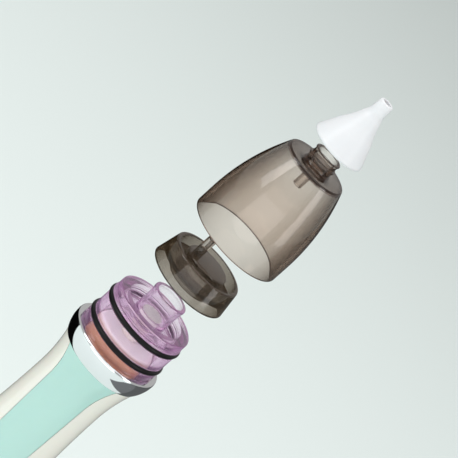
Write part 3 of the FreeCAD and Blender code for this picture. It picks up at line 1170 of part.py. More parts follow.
baffle = Piece("splash_baffle", (0.0, 0.0, housing_top + manifold_tall + baffle_lift))
boss_bore = tube_lip_r + slip
floor_high = baffle_tall - trough_deep
floor_low = floor_high - baffle_plate
lean = (baffle_foot_r - baffle_top_r) / baffle_tall
baffle.spin([(baffle_foot_r, 0.0),
             (baffle_foot_r - lean * (baffle_tall - rim_round), baffle_tall - rim_round),
             (baffle_top_r - rim_round, baffle_tall, rim_round, -1),
             (baffle_top_r - baffle_wall, baffle_tall),
             (baffle_foot_r - lean * floor_high - baffle_wall, floor_high), (boss_r, floor_high),
             (boss_r, baffle_tall - rim_round), (boss_r - rim_round, baffle_tall, rim_round, -1),
             (0.0, baffle_tall), (0.0, baffle_tall - baffle_plate), (boss_bore, baffle_tall - baffle_plate),
             (boss_bore, boss_lift), (boss_r, boss_lift), (boss_r, floor_low),
             (baffle_foot_r - lean * floor_low - baffle_wall, floor_low), (baffle_foot_r - baffle_wall, 0.0)])
chimney_spot = (chimney_x, chimney_y)
baffle.pad(baffle.circles([chimney_spot + (chimney_r,)], "XY", baffle_tall - fit), chimney_stub + fit)
baffle.cut(baffle.circles([chimney_spot + (chimney_bore_r,)], "XY", baffle_tall - baffle_plate - fit),
           chimney_stub + baffle_plate * 2)
baffle.cut(baffle.circles([chimney_spot + (chimney_plug_r + fit,)], "XY",
                          baffle_tall + chimney_stub - chimney_plug - slip), chimney_plug + slip * 2)

boss_top = housing_top + manifold_tall + baffle_lift + baffle_tall
chimney = Piece("chimney_tube", (chimney_x, chimney_y, boss_top))
chimney.spin([(chimney_bore_r, chimney_stub - chimney_plug), (chimney_plug_r, chimney_stub - chimney_plug),
              (chimney_plug_r, chimney_stub), (chimney_r, chimney_stub), (chimney_r, chimney_tall),
              (chimney_bore_r, chimney_tall)])

# ---------------------------------------------------------------- mucus cup

cup = Piece("mucus_cup", (0.0, 0.0, housing_top + cup_lift))
cup_bore = cup_r - cup_wall
cup_ceiling = cup_shoulder - cup_plate
groove_low = cup_shoulder + spout_flange_low + spout_flange_thick
groove_high = groove_low + spout_groove_tall
spout_top = cup_shoulder + spout_tall
cup.spin([
    (cup_r, 0.0), (cup_r, cup_straight),
    (cup_shoulder_r, cup_shoulder, bow(cup_r - cup_shoulder_r, cup_shoulder - cup_straight), -1),
    (spout_r + spout_root, cup_shoulder), (spout_r, cup_shoulder + spout_root, spout_root, 1),
    (spout_r, cup_shoulder + spout_flange_low), (spout_flange_r, cup_shoulder + spout_flange_low),
    (spout_flange_r, groove_low), (spout_groove_r, groove_low), (spout_groove_r, groove_high),
    (spout_lip_r, groove_high), (spout_lip_r, spout_top), (spout_bore_r, spout_top),
    (spout_bore_r, cup_shoulder - funnel_top), (drip_bore_r, cup_shoulder - funnel_end),
    (drip_bore_r, cup_shoulder - drip_deep), (drip_r, cup_shoulder - drip_deep),
    (drip_r, cup_ceiling - funnel_tall), (funnel_r, cup_ceiling - funnel_tall), (funnel_r, cup_ceiling),
    (cup_ceiling_r, cup_ceiling),
    (cup_bore, cup_straight, bow(cup_bore - cup_ceiling_r, cup_ceiling - cup_straight), 1), (cup_bore, 0.0)])
cup.round_edges(cup_edge, ring_at(cup_shoulder, cup_shoulder_r))
cup.round_edges(spout_lip_round, ring_at(spout_top, spout_lip_r))

# ---------------------------------------------------------------- nozzle

nozzle = Piece("nozzle_tip", (0.0, 0.0, housing_top + cup_lift + cup_shoulder + nozzle_lift))
sleeve_bore = spout_flange_r + slip * 1.2
sleeve_out = sleeve_bore + sleeve_wall
slope = (nozzle_skirt_r - nozzle_flare_r) / nozzle_flare_height
pocket_r = sleeve_out + pocket_gap
skirt_pocket = (nozzle_skirt_r - skirt_wall - pocket_r) / slope
nozzle.spin([
    (nozzle_skirt_r - nozzle_lip, 0.0), (nozzle_skirt_r - slope * nozzle_lip, nozzle_lip, nozzle_lip, -1),
    (nozzle_flare_r, nozzle_flare_height), (nozzle_neck_r, nozzle_neck_height, nozzle_flank_curve, 1),
    (nozzle_tip_low_r, nozzle_tip_low, nozzle_neck_curve, 1), (nozzle_tip_r, nozzle_tall - nozzle_tip_round),
    (nozzle_tip_r - nozzle_tip_round, nozzle_tall, nozzle_tip_round, -1), (nozzle_bore_r, nozzle_tall),
    (nozzle_bore_r, nozzle_bore_low), (nozzle_bore_r * 2, nozzle_bore_low - nozzle_bore_r * 1.5),
    (sleeve_bore - sleeve_taper, sleeve_low + sleeve_deep + sleeve_taper),
    (sleeve_bore, sleeve_low + sleeve_deep),
    (sleeve_bore, sleeve_low), (sleeve_out, sleeve_low), (sleeve_out, skirt_pocket),
    (pocket_r, skirt_pocket), (nozzle_skirt_r - skirt_wall, 0.0)])

# ---------------------------------------------------------------- wires

def add_wire(piece, across, points, radius):
    """One lead: a round sweep along a line in an upright plane; the line starts off straight up."""
    path = piece.sketch("YZ", across)
    for index in range(len(points) - 1):
        start, stop = points[index], points[index + 1]
        path.addGeometry(Part.LineSegment(Vector(float(start[0]), float(start[1]), 0),
                                          Vector(float(stop[0]), float(stop[1]), 0)), False)
    rules, formulas = [], []
    for index in range(len(points) - 2):
        rules.append(Sketcher.Constraint("Coincident", index, 2, index + 1, 1))
        formulas.append(None)
    for index, (back, height) in enumerate(points):
        end = (index, 1) if index < len(points) - 1 else (index - 1, 2)
        rules.append(Sketcher.Constraint("DistanceX", -1, 1, *end, float(back)))
        formulas.append(back)
        rules.append(Sketcher.Constraint("DistanceY", -1, 1, *end, float(height)))
        formulas.append(height)
    piece.rule(path, rules, formulas)
    profile = piece.circles([(across, points[0][0], radius)], "XY", points[0][1])
    sweep = piece.body.newObject("PartDesign::AdditivePipe", piece.label + "_sweep" + str(piece.sketches))
    sweep.Profile = profile
    sweep.Spine = path
    sweep.Transition = "Round corner"
    doc.recompute()


motor_leads = Piece("motor_leads")
lead_high = frame_high - shelf_thick - lead_gate_tall / 2
lead_front = -board_front - wire_r - fit
for side in (-1, 1):
    add_wire(motor_leads, side * lead_across, [(lead_front, board_low + board_tall - lead_down),
                                               (lead_front, lead_high), (-brush_wide / 2 - fit, lead_high)],
             wire_r)

battery_leads = Piece("battery_leads")
for side in (-1, 1):
    x = side * (frame_wide / 2 + wire_r * 1.5)
    add_wire(battery_leads, x, [(-frame_front / 2, cell_low + battery_lead_lift),
                                (-frame_front / 2, board_low + board_tall / 2),
                                (-board_front, board_low + board_tall / 2)], wire_r)

charge_leads = Piece("charge_leads")
for side in (-1, 1):
    x = side * charge_lead_x
    add_wire(charge_leads, x, [(-board_front - wire_r, charge_low + charge_thick + fit),
                               (-board_front - wire_r, board_low + lead_lap)], wire_r)

# The cutter for the crank pin's hole: a plain cylinder along the pin, as a separate removing shape.
pin_hole = doc.addObject("Part::Cylinder", "pin_hole")
pin_hole.Placement = FreeCAD.Placement(Vector(0, 0, float(pivot_height)),
                                       FreeCAD.Rotation(Vector(0, 1, 0), float(HALF_TURN + pin_slant)))
for name, value in (("Radius", pin_r + fit / 5), ("Height", pin_low + fit)):
    setattr(pin_hole, name, float(value))
    bind(pin_hole, name, value)
bind(pin_hole, "Placement.Base.z", pivot_height)
bind(pin_hole, "Placement.Rotation.Angle", HALF_TURN + pin_slant)
bored = doc.addObject("Part::Cut", "eccentric_bored")
bored.Base = eccentric.body
bored.Tool = pin_hole
doc.recompute()

# ---------------------------------------------------------------- checks and files

doc.recompute()
solids = {piece.label: piece.body for piece in Piece.made}
solids["eccentric"] = bored
problems = []
for item in doc.Objects:
    if "Invalid" in item.State or "Error" in item.State:
        problems.append(item.Name + " " + str(item.State))
for label, item in solids.items():
    if item.Shape.isNull() or not item.Shape.isValid() or not item.Shape.Solids:
        problems.append(label + " has no sound solid")
if problems:
    raise ValueError("; ".join(problems))

os.makedirs("parts", exist_ok=True)
for label, item in solids.items():
    item.Shape.exportStep(os.path.join("parts", label + ".step"))
    print(label, len(item.Shape.Solids), "solid(s)", round(item.Shape.Volume, 2), "mm3")
print(len(solids), "files written")
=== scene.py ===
# %% [markdown]
# # A nasal aspirator, pulled apart for cleaning
#
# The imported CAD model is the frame: its nodes are real pieces at their real size, and they are never moved.
# Blender adds what the eye judges, which is finish. The round pieces near the camera are turned again
# on a finer lathe, because clear plastic shows every facet, and all the other pieces keep their CAD shape and
# get a material of their own.

# %% Load the frame
import bmesh
import bpy
import json
import math
from mathutils import Matrix, Vector


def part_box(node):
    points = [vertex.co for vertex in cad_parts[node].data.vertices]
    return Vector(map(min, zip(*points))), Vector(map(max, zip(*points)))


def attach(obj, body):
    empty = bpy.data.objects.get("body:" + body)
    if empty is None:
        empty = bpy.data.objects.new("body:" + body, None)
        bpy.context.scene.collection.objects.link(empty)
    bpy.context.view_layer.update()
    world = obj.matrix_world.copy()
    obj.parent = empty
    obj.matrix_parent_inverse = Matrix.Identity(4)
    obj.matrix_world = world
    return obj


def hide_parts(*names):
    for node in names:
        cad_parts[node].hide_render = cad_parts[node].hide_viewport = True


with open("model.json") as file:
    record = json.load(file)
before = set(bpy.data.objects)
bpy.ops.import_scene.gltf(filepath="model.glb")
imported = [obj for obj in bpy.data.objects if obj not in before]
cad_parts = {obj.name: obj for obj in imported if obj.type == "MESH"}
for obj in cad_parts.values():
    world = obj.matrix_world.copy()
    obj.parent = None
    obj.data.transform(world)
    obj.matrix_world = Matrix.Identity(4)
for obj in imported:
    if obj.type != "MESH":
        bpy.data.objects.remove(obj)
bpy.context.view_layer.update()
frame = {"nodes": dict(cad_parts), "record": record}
MM = 0.001

# %% [markdown]
# ## Ways of writing materials
#
# A node tree is easier to read as an expression than as a list of links. One small class wraps a socket, so
# that `1 - mask * 0.5` adds the Math nodes by itself, and one method adds any other kind of node. Colours
# never go through Math nodes, which would turn them grey: they are mixed with a Mix node instead.


# %% A socket that does arithmetic
class Wire:
    """An output socket of a node tree, with the arithmetic operators."""

    def __init__(self, finish, socket):
        self.finish = finish
        self.socket = socket

    def _math(self, operation, first, second):
        return self.finish.node("ShaderNodeMath", {"operation": operation}, {0: first, 1: second})["Value"]

    def __add__(self, other):
        return self._math("ADD", self, other)

    def __radd__(self, other):
        return self._math("ADD", other, self)

    def __sub__(self, other):
        return self._math("SUBTRACT", self, other)

    def __rsub__(self, other):
        return self._math("SUBTRACT", other, self)

    def __mul__(self, other):
        return self._math("MULTIPLY", self, other)

    def __rmul__(self, other):
        return self._math("MULTIPLY", other, self)


# %% A material under construction
class Finish:
    """A material whose nodes are added with node(), around one Principled shader."""

    def __init__(self, name):
        self.material = bpy.data.materials.new(name)
        self.material.use_nodes = True
        self.tree = self.material.node_tree
        self.tree.nodes.clear()
        self.shader = self.tree.nodes.new("ShaderNodeBsdfPrincipled")
        self.output = self.tree.nodes.new("ShaderNodeOutputMaterial")
        self.tree.links.new(self.shader.outputs["BSDF"], self.output.inputs["Surface"])

    def node(self, kind, settings=None, inputs=None):
        """Adds a node, sets it up, feeds its sockets and gives its outputs by name."""
        made = self.tree.nodes.new(kind)
        for name, value in (settings or {}).items():
            if name == "stops":
                self.set_stops(made.color_ramp, value)
            else:
                setattr(made, name, value)
        for key, value in (inputs or {}).items():
            self.feed(made.inputs[key], value)
        return {socket.name: Wire(self, socket) for socket in made.outputs if socket.enabled}

    def set_stops(self, ramp, stops):
        while len(ramp.elements) < len(stops):
            ramp.elements.new(0.5)
        for element, (place, colour) in zip(ramp.elements, stops):
            element.position = place
            element.color = colour

    def feed(self, socket, value):
        if isinstance(value, Wire):
            self.tree.links.new(value.socket, socket)
        else:
            socket.default_value = value

    def set(self, **values):
        """Sets sockets of the Principled shader; underscores stand for spaces."""
        for name, value in values.items():
            self.feed(self.shader.inputs[name.replace("_", " ")], value)
        return self

    def place(self):
        return self.node("ShaderNodeTexCoord")["Object"]

    def noise(self, scale, detail=3.0, roughness=0.55, place=None):
        return self.node("ShaderNodeTexNoise", None, {"Vector": place or self.place(), "Scale": scale,
                                                      "Detail": detail, "Roughness": roughness})["Fac"]

    def mix(self, factor, first, second):
        made = self.tree.nodes.new("ShaderNodeMix")
        made.data_type = "RGBA"
        self.feed(made.inputs["Factor"], factor)
        self.feed(made.inputs[6], first)
        self.feed(made.inputs[7], second)
        return Wire(self, made.outputs[2])

    def bump(self, height, strength, distance):
        relief = self.node("ShaderNodeBump", None, {"Height": height, "Strength": strength,
                                                    "Distance": distance})["Normal"]
        return self.set(Normal=relief)


# %% Colours as they are seen on a screen
def paint(red, green, blue, alpha=1.0):
    """A screen colour (0 to 255) as the linear colour that shaders use."""
    def linear(value):
        share = value / 255
        return share / 12.92 if share <= 0.04045 else ((share + 0.055) / 1.055) ** 2.4
    return (linear(red), linear(green), linear(blue), alpha)


def shade(colour, amount):
    """The same colour, lighter (above 1) or darker."""
    return tuple(min(channel * amount, 1.0) for channel in colour[:3]) + (1.0,)


# %% [markdown]
# ## Camera
#
# The object stands upright in its own frame, but it is looked at from a little above and with the camera
# rolled over, so that its axis climbs from the lower left to the upper right. A long lens from a metre away
# keeps the perspective weak, as in a catalogue picture.

# %% Place the camera
LEAN = math.radians(42.0)
LOOK_DOWN = math.radians(19.5)
LENS_MM = 220.0
SENSOR_MM = 36.0
VIEW_WIDTH = 166.1 * MM

collar_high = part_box("collar_ring")[1]
aim = Vector((-4.46 * MM, 0.0, collar_high.z + 62.5 * MM))
distance = VIEW_WIDTH * LENS_MM / SENSOR_MM
toward = Vector((0.0, -math.cos(LOOK_DOWN), math.sin(LOOK_DOWN)))
level_up = Vector((0.0, math.sin(LOOK_DOWN), math.cos(LOOK_DOWN)))
level_right = Vector((1.0, 0.0, 0.0))
right = level_up * math.cos(LEAN) + level_right * math.sin(LEAN)
up = level_up * math.sin(LEAN) - level_right * math.cos(LEAN)

lens = bpy.data.cameras.new("studio_camera")
lens.lens = LENS_MM
lens.sensor_width = SENSOR_MM
lens.clip_end = 20.0
camera = bpy.data.objects.new("studio_camera", lens)
bpy.context.scene.collection.objects.link(camera)
camera.matrix_world = Matrix.Translation(aim + toward * distance) @ Matrix(
    (right, up, toward)).transposed().to_4x4()
bpy.context.scene.camera = camera
print("camera is", round(distance, 3), "m away")

# %% [markdown]
# ## Floor and light
#
# The floor is a sheet of pale seamless paper with a breath of mint in it. Large soft lights give long even
# highlights, which is what makes glossy plastic read as glossy.

# %% The paper floor
FLOOR_HALF = 6.0
sheet = bmesh.new()
bmesh.ops.create_grid(sheet, x_segments=1, y_segments=1, size=FLOOR_HALF)
floor_mesh = bpy.data.meshes.new("paper_floor")
sheet.to_mesh(floor_mesh)
sheet.free()
floor = bpy.data.objects.new("paper_floor", floor_mesh)
bpy.context.scene.collection.objects.link(floor)

paper = Finish("pale_paper")
grain = paper.noise(900.0)
paper.set(Base_Color=paper.mix(grain, paint(226, 237, 235), paint(231, 240, 238)),
          Roughness=0.85 + grain * 0.1, Specular_IOR_Level=0.2)
floor.data.materials.append(paper.material)


# %% Soft lights
def softbox(name, place, target, size, power, colour=(1.0, 1.0, 1.0)):
    """A rectangular light at a place, facing a target."""
    lamp = bpy.data.lights.new(name, "AREA")
    lamp.shape = "RECTANGLE"
    lamp.size, lamp.size_y = size
    lamp.energy = power
    lamp.color = colour
    made = bpy.data.objects.new(name, lamp)
    made.location = place
    made.rotation_euler = (Vector(target) - Vector(place)).to_track_quat("-Z", "Y").to_euler()
    made.visible_camera = False
    bpy.context.scene.collection.objects.link(made)
    return made


middle = Vector((0.0, 0.0, collar_high.z + 60 * MM))
softbox("key_left", (-0.9, -0.55, 0.75), middle, (0.5, 1.0), 5.5)
softbox("fill_right", (0.95, -0.35, 0.45), middle, (0.35, 1.0), 3.0)
softbox("top_light", (0.0, 0.1, 1.5), middle, (1.2, 1.2), 10.0)
softbox("low_front", (0.0, -0.62, 0.08), (0.0, 0.0, 0.15), (0.9, 0.4), 1.6)
world = bpy.data.worlds.new("studio")
world.use_nodes = True
sky = world.node_tree.nodes["Background"]
sky.inputs["Color"].default_value = paint(252, 250, 248)
sky.inputs["Strength"].default_value = 0.5
bpy.context.scene.world = world
bpy.context.scene.view_settings.view_transform = "Standard"

# %% [markdown]
# ## Cards for the reflections
#
# Polished metal shows only what is around it, and on a pale floor that is a pale nothing. Dark cards beside
# such a piece draw its edges. These lie flat behind and beside the object, and only reflections see them:
# they give no shade and take no light away.

# %% Lay the cards
CARD_LIFT = 0.002


def dark_card(name, left, right, near, far, colour):
    """A matt card on the floor that only reflections see: it gives chrome and gloss their dark edges."""
    sheet = bmesh.new()
    corners = [sheet.verts.new(place) for place in
               ((left, near, 0.0), (right, near, 0.0), (right, far, 0.0), (left, far, 0.0))]
    sheet.faces.new(corners)
    mesh = bpy.data.meshes.new(name)
    sheet.to_mesh(mesh)
    sheet.free()
    card = bpy.data.objects.new(name, mesh)
    card.location = (0.0, 0.0, CARD_LIFT)
    bpy.context.scene.collection.objects.link(card)
    cloth = Finish(name)
    cloth.set(Base_Color=colour, Roughness=0.9 + cloth.noise(300.0) * 0.05, Specular_IOR_Level=0.0)
    mesh.materials.append(cloth.material)
    for seen_by in ("visible_camera", "visible_diffuse", "visible_transmission", "visible_shadow"):
        setattr(card, seen_by, False)


dark_card("card_left", -1.3, -0.02, 0.02, 1.6, paint(6, 6, 7))
dark_card("card_right", -0.02, 1.3, 0.06, 1.6, paint(92, 94, 95))
dark_card("card_side", 0.10, 1.3, -0.1, 0.06, paint(112, 114, 116))

# %% [markdown]
# ## Finishes
#
# Each finish is a short function, so that two pieces of one plastic differ only in colour. Moulded plastic is
# never quite even: its gloss drifts a little over centimetres and there is a faint orange-peel in the
# surface. Both are noise, read from the object's own coordinates so that they ride with the piece.


# %% Moulded plastic, rubber and silicone
def gloss_plastic(name, colour, roughness=0.16):
    made = Finish(name)
    drift = made.noise(26.0, 4.0)
    peel = made.noise(420.0, 2.0)
    tone = made.mix(drift, shade(colour, 0.965), shade(colour, 1.02))
    made.set(Base_Color=tone, Roughness=roughness - 0.03 + drift * 0.06, IOR=1.5, Coat_Weight=0.35,
             Coat_Roughness=0.06, Subsurface_Weight=0.06, Subsurface_Scale=0.004)
    return made.bump(peel, 0.035, 0.0004).material


def satin_plastic(name, colour, roughness=0.45):
    made = Finish(name)
    drift = made.noise(30.0, 4.0)
    texture = made.noise(2600.0, 2.0)
    tone = made.mix(drift, shade(colour, 0.93), shade(colour, 1.05))
    made.set(Base_Color=tone, Roughness=roughness - 0.05 + texture * 0.12)
    return made.bump(texture, 0.16, 0.0003).material


def soft_rubber(name, colour, roughness=0.5, sheen=0.5):
    made = Finish(name)
    bloom = made.noise(60.0, 5.0)
    texture = made.noise(3200.0, 3.0)
    tone = made.mix(bloom * 0.7, colour, shade(colour, 1.25))
    made.set(Base_Color=tone, Roughness=roughness - 0.06 + bloom * 0.14, Specular_IOR_Level=sheen)
    return made.bump(texture, 0.12, 0.00025).material


def silicone(name, colour, depth=0.35, roughness=0.34):
    """Milky silicone: light enters it, so thin edges glow a little and shadows stay soft."""
    made = Finish(name)
    bloom = made.noise(45.0, 4.0)
    texture = made.noise(1500.0, 2.0)
    tone = made.mix(bloom, shade(colour, 0.97), shade(colour, 1.015))
    made.set(Base_Color=tone, Roughness=roughness - 0.04 + bloom * 0.1, Subsurface_Weight=depth,
             Subsurface_Radius=(0.9, 0.8, 0.75), Subsurface_Scale=0.003, IOR=1.43)
    return made.bump(texture, 0.05, 0.0003).material


def amber_with_painted_highlight(name, lower, upper, low, high):
    """Soft silicone in one colour below; the colour above is a painted highlight, standing in for silvery
    reflections, with a short fade between.
    """
    made = Finish(name)
    bloom = made.noise(45.0, 4.0)
    texture = made.noise(1500.0, 2.0)
    # the height decides where the painted highlight colour takes over from the colour below
    height = made.node("ShaderNodeSeparateXYZ", None, {"Vector": made.place()})["Z"]
    share = made.node("ShaderNodeMapRange", {"interpolation_type": "SMOOTHSTEP"}, {
        "Value": height, "From Min": low, "From Max": high})["Result"]
    made.set(Base_Color=made.mix(share, lower, upper), Roughness=0.28 + bloom * 0.1, Subsurface_Weight=0.3,
             Subsurface_Radius=(0.9, 0.7, 0.6), Subsurface_Scale=0.003, IOR=1.43)
    return made.bump(texture, 0.05, 0.0003).material


# %% Clear plastic
BAND_SHARE = 0.96


def clear_plastic(name, tint, density, edge, body_share=0.0, edge_share=0.8, spread=2.4, band=None,
                  roughness=0.025):
    """Clear tinted plastic: colour in the depth of the wall, darker where a wall is seen edge-on.

    body_share is how milky it is all over, and band is (low, high) of a height where it is thickest."""
    made = Finish(name)
    smear = made.noise(38.0, 4.0)
    made.set(Base_Color=(1.0, 1.0, 1.0, 1.0), Roughness=roughness + smear * 0.035, IOR=1.42,
             Transmission_Weight=1.0)
    depth = made.tree.nodes.new("ShaderNodeVolumeAbsorption")
    depth.inputs["Color"].default_value = tint
    depth.inputs["Density"].default_value = density
    made.tree.links.new(depth.outputs["Volume"], made.output.inputs["Volume"])
    rim = made.tree.nodes.new("ShaderNodeBsdfPrincipled")
    rim.inputs["Base Color"].default_value = edge
    rim.inputs["Roughness"].default_value = 0.12
    facing = made.node("ShaderNodeLayerWeight", None, {"Blend": 0.5})["Facing"]
    turning = made.node("ShaderNodeMath", {"operation": "POWER"}, {0: facing, 1: spread})["Value"]
    share = turning * (edge_share - body_share) + body_share
    if band:
        height = made.node("ShaderNodeSeparateXYZ", None, {"Vector": made.place()})["Z"]
        middle, half = (band[0] + band[1]) / 2, (band[1] - band[0]) / 2
        near = made.node("ShaderNodeMath", {"operation": "COMPARE"}, {0: height, 1: middle, 2: half})["Value"]
        share = made.node("ShaderNodeMath", {"operation": "MAXIMUM"},
                          {0: share, 1: near * BAND_SHARE})["Value"]
    blend = made.node("ShaderNodeMixShader", None, {0: share})["Shader"]
    made.tree.links.new(made.shader.outputs["BSDF"], blend.socket.node.inputs[1])
    made.tree.links.new(rim.outputs["BSDF"], blend.socket.node.inputs[2])
    made.tree.links.new(blend.socket, made.output.inputs["Surface"])
    return made.material


# %% Metals
def metal(name, colour, roughness, grain=(1.0, 1.0, 14.0), depth=0.05):
    """Metal with a direction to it: noise stretched along the piece makes drawn or turned marks."""
    made = Finish(name)
    stretched = made.node("ShaderNodeMapping", {"vector_type": "POINT"},
                          {"Vector": made.place(), "Scale": grain})["Vector"]
    marks = made.noise(240.0, 4.0, place=stretched)
    stain = made.noise(35.0, 4.0)
    tone = made.mix(stain, shade(colour, 0.9), shade(colour, 1.06))
    made.set(Base_Color=tone, Metallic=1.0, Roughness=roughness + marks * 0.08)
    return made.bump(marks, depth, 0.0002).material


# %% Stripes for windings, sleeves and boards
def banded(name, dark, light, scale, direction="Z", metallic=0.0, roughness=0.3, relief=0.3):
    """Fine parallel bands: enamelled wire in a coil, or the seams of a heat-shrink sleeve."""
    made = Finish(name)
    bands = made.node("ShaderNodeTexWave", {"wave_type": "BANDS", "bands_direction": direction},
                      {"Vector": made.place(), "Scale": scale, "Distortion": 0.6, "Detail": 1.0})["Fac"]
    spots = made.noise(90.0, 4.0)
    made.set(Base_Color=made.mix(bands, dark, light), Metallic=metallic, Roughness=roughness + spots * 0.12)
    return made.bump(bands, relief, 0.0002).material


def board_mask(name, mask, copper):
    """A circuit board: copper tracks show as paler lines under the green mask."""
    made = Finish(name)
    cells = made.node("ShaderNodeTexVoronoi", {"feature": "DISTANCE_TO_EDGE", "distance": "MANHATTAN"},
                      {"Vector": made.place(), "Scale": 420.0, "Randomness": 0.5})["Distance"]
    tracks = made.node("ShaderNodeValToRGB", {"stops": [(0.0, (1, 1, 1, 1)), (0.08, (0, 0, 0, 1))]},
                       {"Fac": cells})["Color"]
    made.set(Base_Color=made.mix(tracks, mask, copper), Roughness=0.32, Coat_Weight=0.3)
    return made.bump(tracks, 0.2, 0.0001).material


def felt(name, colour):
    made = Finish(name)
    fibres = made.noise(1400.0, 8.0, 0.75)
    made.set(Base_Color=made.mix(fibres, shade(colour, 0.8), colour), Roughness=0.95)
    return made.bump(fibres, 0.8, 0.0006).material


# %% [markdown]
# ## The palette
#
# The record names one material slot for each node. The same names are used here, so the picture and the
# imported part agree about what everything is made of.

# %% Make one finish for each slot
SHOULDER = 41.5
cup_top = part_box("mucus_cup")[0].z + SHOULDER * MM
finishes = {
    "silicone_white": silicone("silicone_white", paint(224, 226, 229), 0.2),
    "cup_smoke": clear_plastic("cup_smoke", paint(210, 164, 114), 240.0, paint(38, 23, 13), 0.02, 0.96, 1.4,
                               (cup_top - 0.75 * MM, cup_top - 0.02 * MM)),
    "baffle_smoke": clear_plastic("baffle_smoke", paint(204, 174, 134), 440.0, paint(66, 54, 40), 0.34, 0.94,
                                  1.6),
    "chimney_clear": clear_plastic("chimney_clear", paint(196, 174, 152), 420.0, paint(96, 78, 64), 0.1),
    "manifold_lilac": clear_plastic("manifold_lilac", paint(240, 194, 232), 70.0, paint(206, 166, 208), 0.06,
                                    0.7, 2.2),
    "seal_black": soft_rubber("seal_black", paint(8, 8, 9), 0.34, 0.2),
    "chrome": metal("chrome", paint(236, 238, 240), 0.03, (1.0, 1.0, 1.0), 0.004),
    "body_cream": gloss_plastic("body_cream", paint(232, 230, 221)),
    "panel_mint": gloss_plastic("panel_mint", paint(176, 214, 206)),
    "button_mint": satin_plastic("button_mint", paint(206, 238, 230), 0.36),
    "light_clear": clear_plastic("light_clear", paint(240, 244, 244), 200.0, paint(236, 240, 240), 0.75, 0.9,
                                 roughness=0.2),
    "foot_grey": soft_rubber("foot_grey", paint(108, 112, 112), 0.7),
    "cover_cream": soft_rubber("cover_cream", paint(238, 234, 222), 0.55),
    # the boot is amber; its pale colour above is a painted highlight for the silvery reflections seen through
    # the manifold
    "boot_amber": amber_with_painted_highlight("boot_amber", paint(206, 150, 94), paint(240, 240, 240),
                           collar_high.z + 4.0 * MM, collar_high.z + 7.0 * MM),
    "hose_clear": silicone("hose_clear", paint(232, 226, 212), 0.5, 0.3),
    "filter_white": felt("filter_white", paint(240, 240, 236)),
    "pump_white": satin_plastic("pump_white", paint(228, 228, 222)),
    "pump_black": satin_plastic("pump_black", paint(34, 34, 36)),
    "diaphragm_rubber": soft_rubber("diaphragm_rubber", paint(40, 40, 42)),
    "steel": metal("steel", paint(206, 206, 208), 0.26),
    "motor_steel": metal("motor_steel", paint(214, 214, 216), 0.3, (1.0, 1.0, 20.0), 0.08),
    "magnet_grey": satin_plastic("magnet_grey", paint(58, 58, 62), 0.6),
    "copper": banded("copper", paint(150, 78, 44), paint(214, 132, 88), 900.0, "Z", 0.9, 0.28),
    "brass": metal("brass", paint(216, 186, 118), 0.25),
    "bronze": metal("bronze", paint(176, 142, 98), 0.45, (1.0, 1.0, 1.0), 0.2),
    "carbon": satin_plastic("carbon", paint(30, 30, 32), 0.6),
    "cell_wrap": banded("cell_wrap", paint(38, 116, 98), paint(48, 134, 112), 40.0, "Z", 0.0, 0.2, 0.02),
    "nickel": metal("nickel", paint(214, 210, 198), 0.3),
    "board_green": board_mask("board_green", paint(18, 92, 54), paint(52, 140, 84)),
    "chip_black": satin_plastic("chip_black", paint(26, 26, 28), 0.5),
    "lead_red": soft_rubber("lead_red", paint(190, 36, 30), 0.4),
    "lead_black": soft_rubber("lead_black", paint(28, 28, 30), 0.4),
}
slot_of = {entry["node"]: entry["material_slot"] for entry in frame["record"]["subparts"]}
for node, item in frame["nodes"].items():
    item.data.materials.clear()
    item.data.materials.append(finishes[slot_of[node]])
print("finishes:", len(finishes))

# %% [markdown]
# ## The lathe
#
# Every piece of the head is turned: its shape is an outline swept once round the axis. The outline is a
# closed ring of points, each with a rounding. Rounding the points with a vertex bevel before the spin costs
# nothing and gives every rim the small radius that catches a highlight. Long curves are arcs, worked out
# from their two ends and how far they bulge.


# %% Outline helpers
def arc(start, end, bulge, count=14):
    """Points after start, up to and with end, on an arc that bulges to the left by this much."""
    first, last = Vector(start), Vector(end)
    chord = last - first
    left = Vector((-chord.y, chord.x)).normalized()
    points = []
    for index in range(1, count + 1):
        share = index / count
        across = 4 * bulge * share * (1 - share)
        point = first + chord * share + left * across
        points.append((point.x, point.y, 0.0))
    return points


def lathe(name, outline, base, body, slot, stands_for, steps=160):
    """Turns a closed outline of (radius, height, rounding) in millimetres round the axis."""
    turned = bmesh.new()
    rim = [turned.verts.new((radius * MM, 0.0, base + height * MM)) for radius, height, _ in outline]
    for index, corner in enumerate(rim):
        turned.edges.new((corner, rim[(index + 1) % len(rim)]))
    for corner, (_, _, rounding) in zip(rim, outline):
        if rounding:
            bmesh.ops.bevel(turned, geom=[corner], offset=rounding * MM, offset_type="OFFSET",
                            affect="VERTICES", segments=5, profile=0.5, material=-1)
    bmesh.ops.spin(turned, geom=turned.verts[:] + turned.edges[:], axis=(0, 0, 1), cent=(0, 0, 0),
                   angle=math.tau, steps=steps, use_merge=True)
    bmesh.ops.remove_doubles(turned, verts=turned.verts[:], dist=1e-7)
    bmesh.ops.recalc_face_normals(turned, faces=turned.faces[:])
    return finish_piece(name, turned, body, slot, stands_for)


def finish_piece(name, shape, body, slot, stands_for=()):
    """Makes the object, shades it, gives it its finish and hangs it on its body."""
    mesh = bpy.data.meshes.new(name)
    shape.to_mesh(mesh)
    shape.free()
    mesh.shade_smooth()
    mesh.set_sharp_from_angle(angle=math.radians(38))
    mesh.materials.append(finishes[slot])
    made = bpy.data.objects.new(name, mesh)
    bpy.context.scene.collection.objects.link(made)
    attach(made, body)
    if stands_for:
        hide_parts(*stands_for)
    print(name, len(mesh.polygons), "faces")
    return made


# %% [markdown]
# ## The nozzle
#
# A soft silicone cone that ends in a short tube. It is one wall thick all over, with a sleeve inside that
# grips the spout of the cup, so its outline runs up the outside and back down the inside.

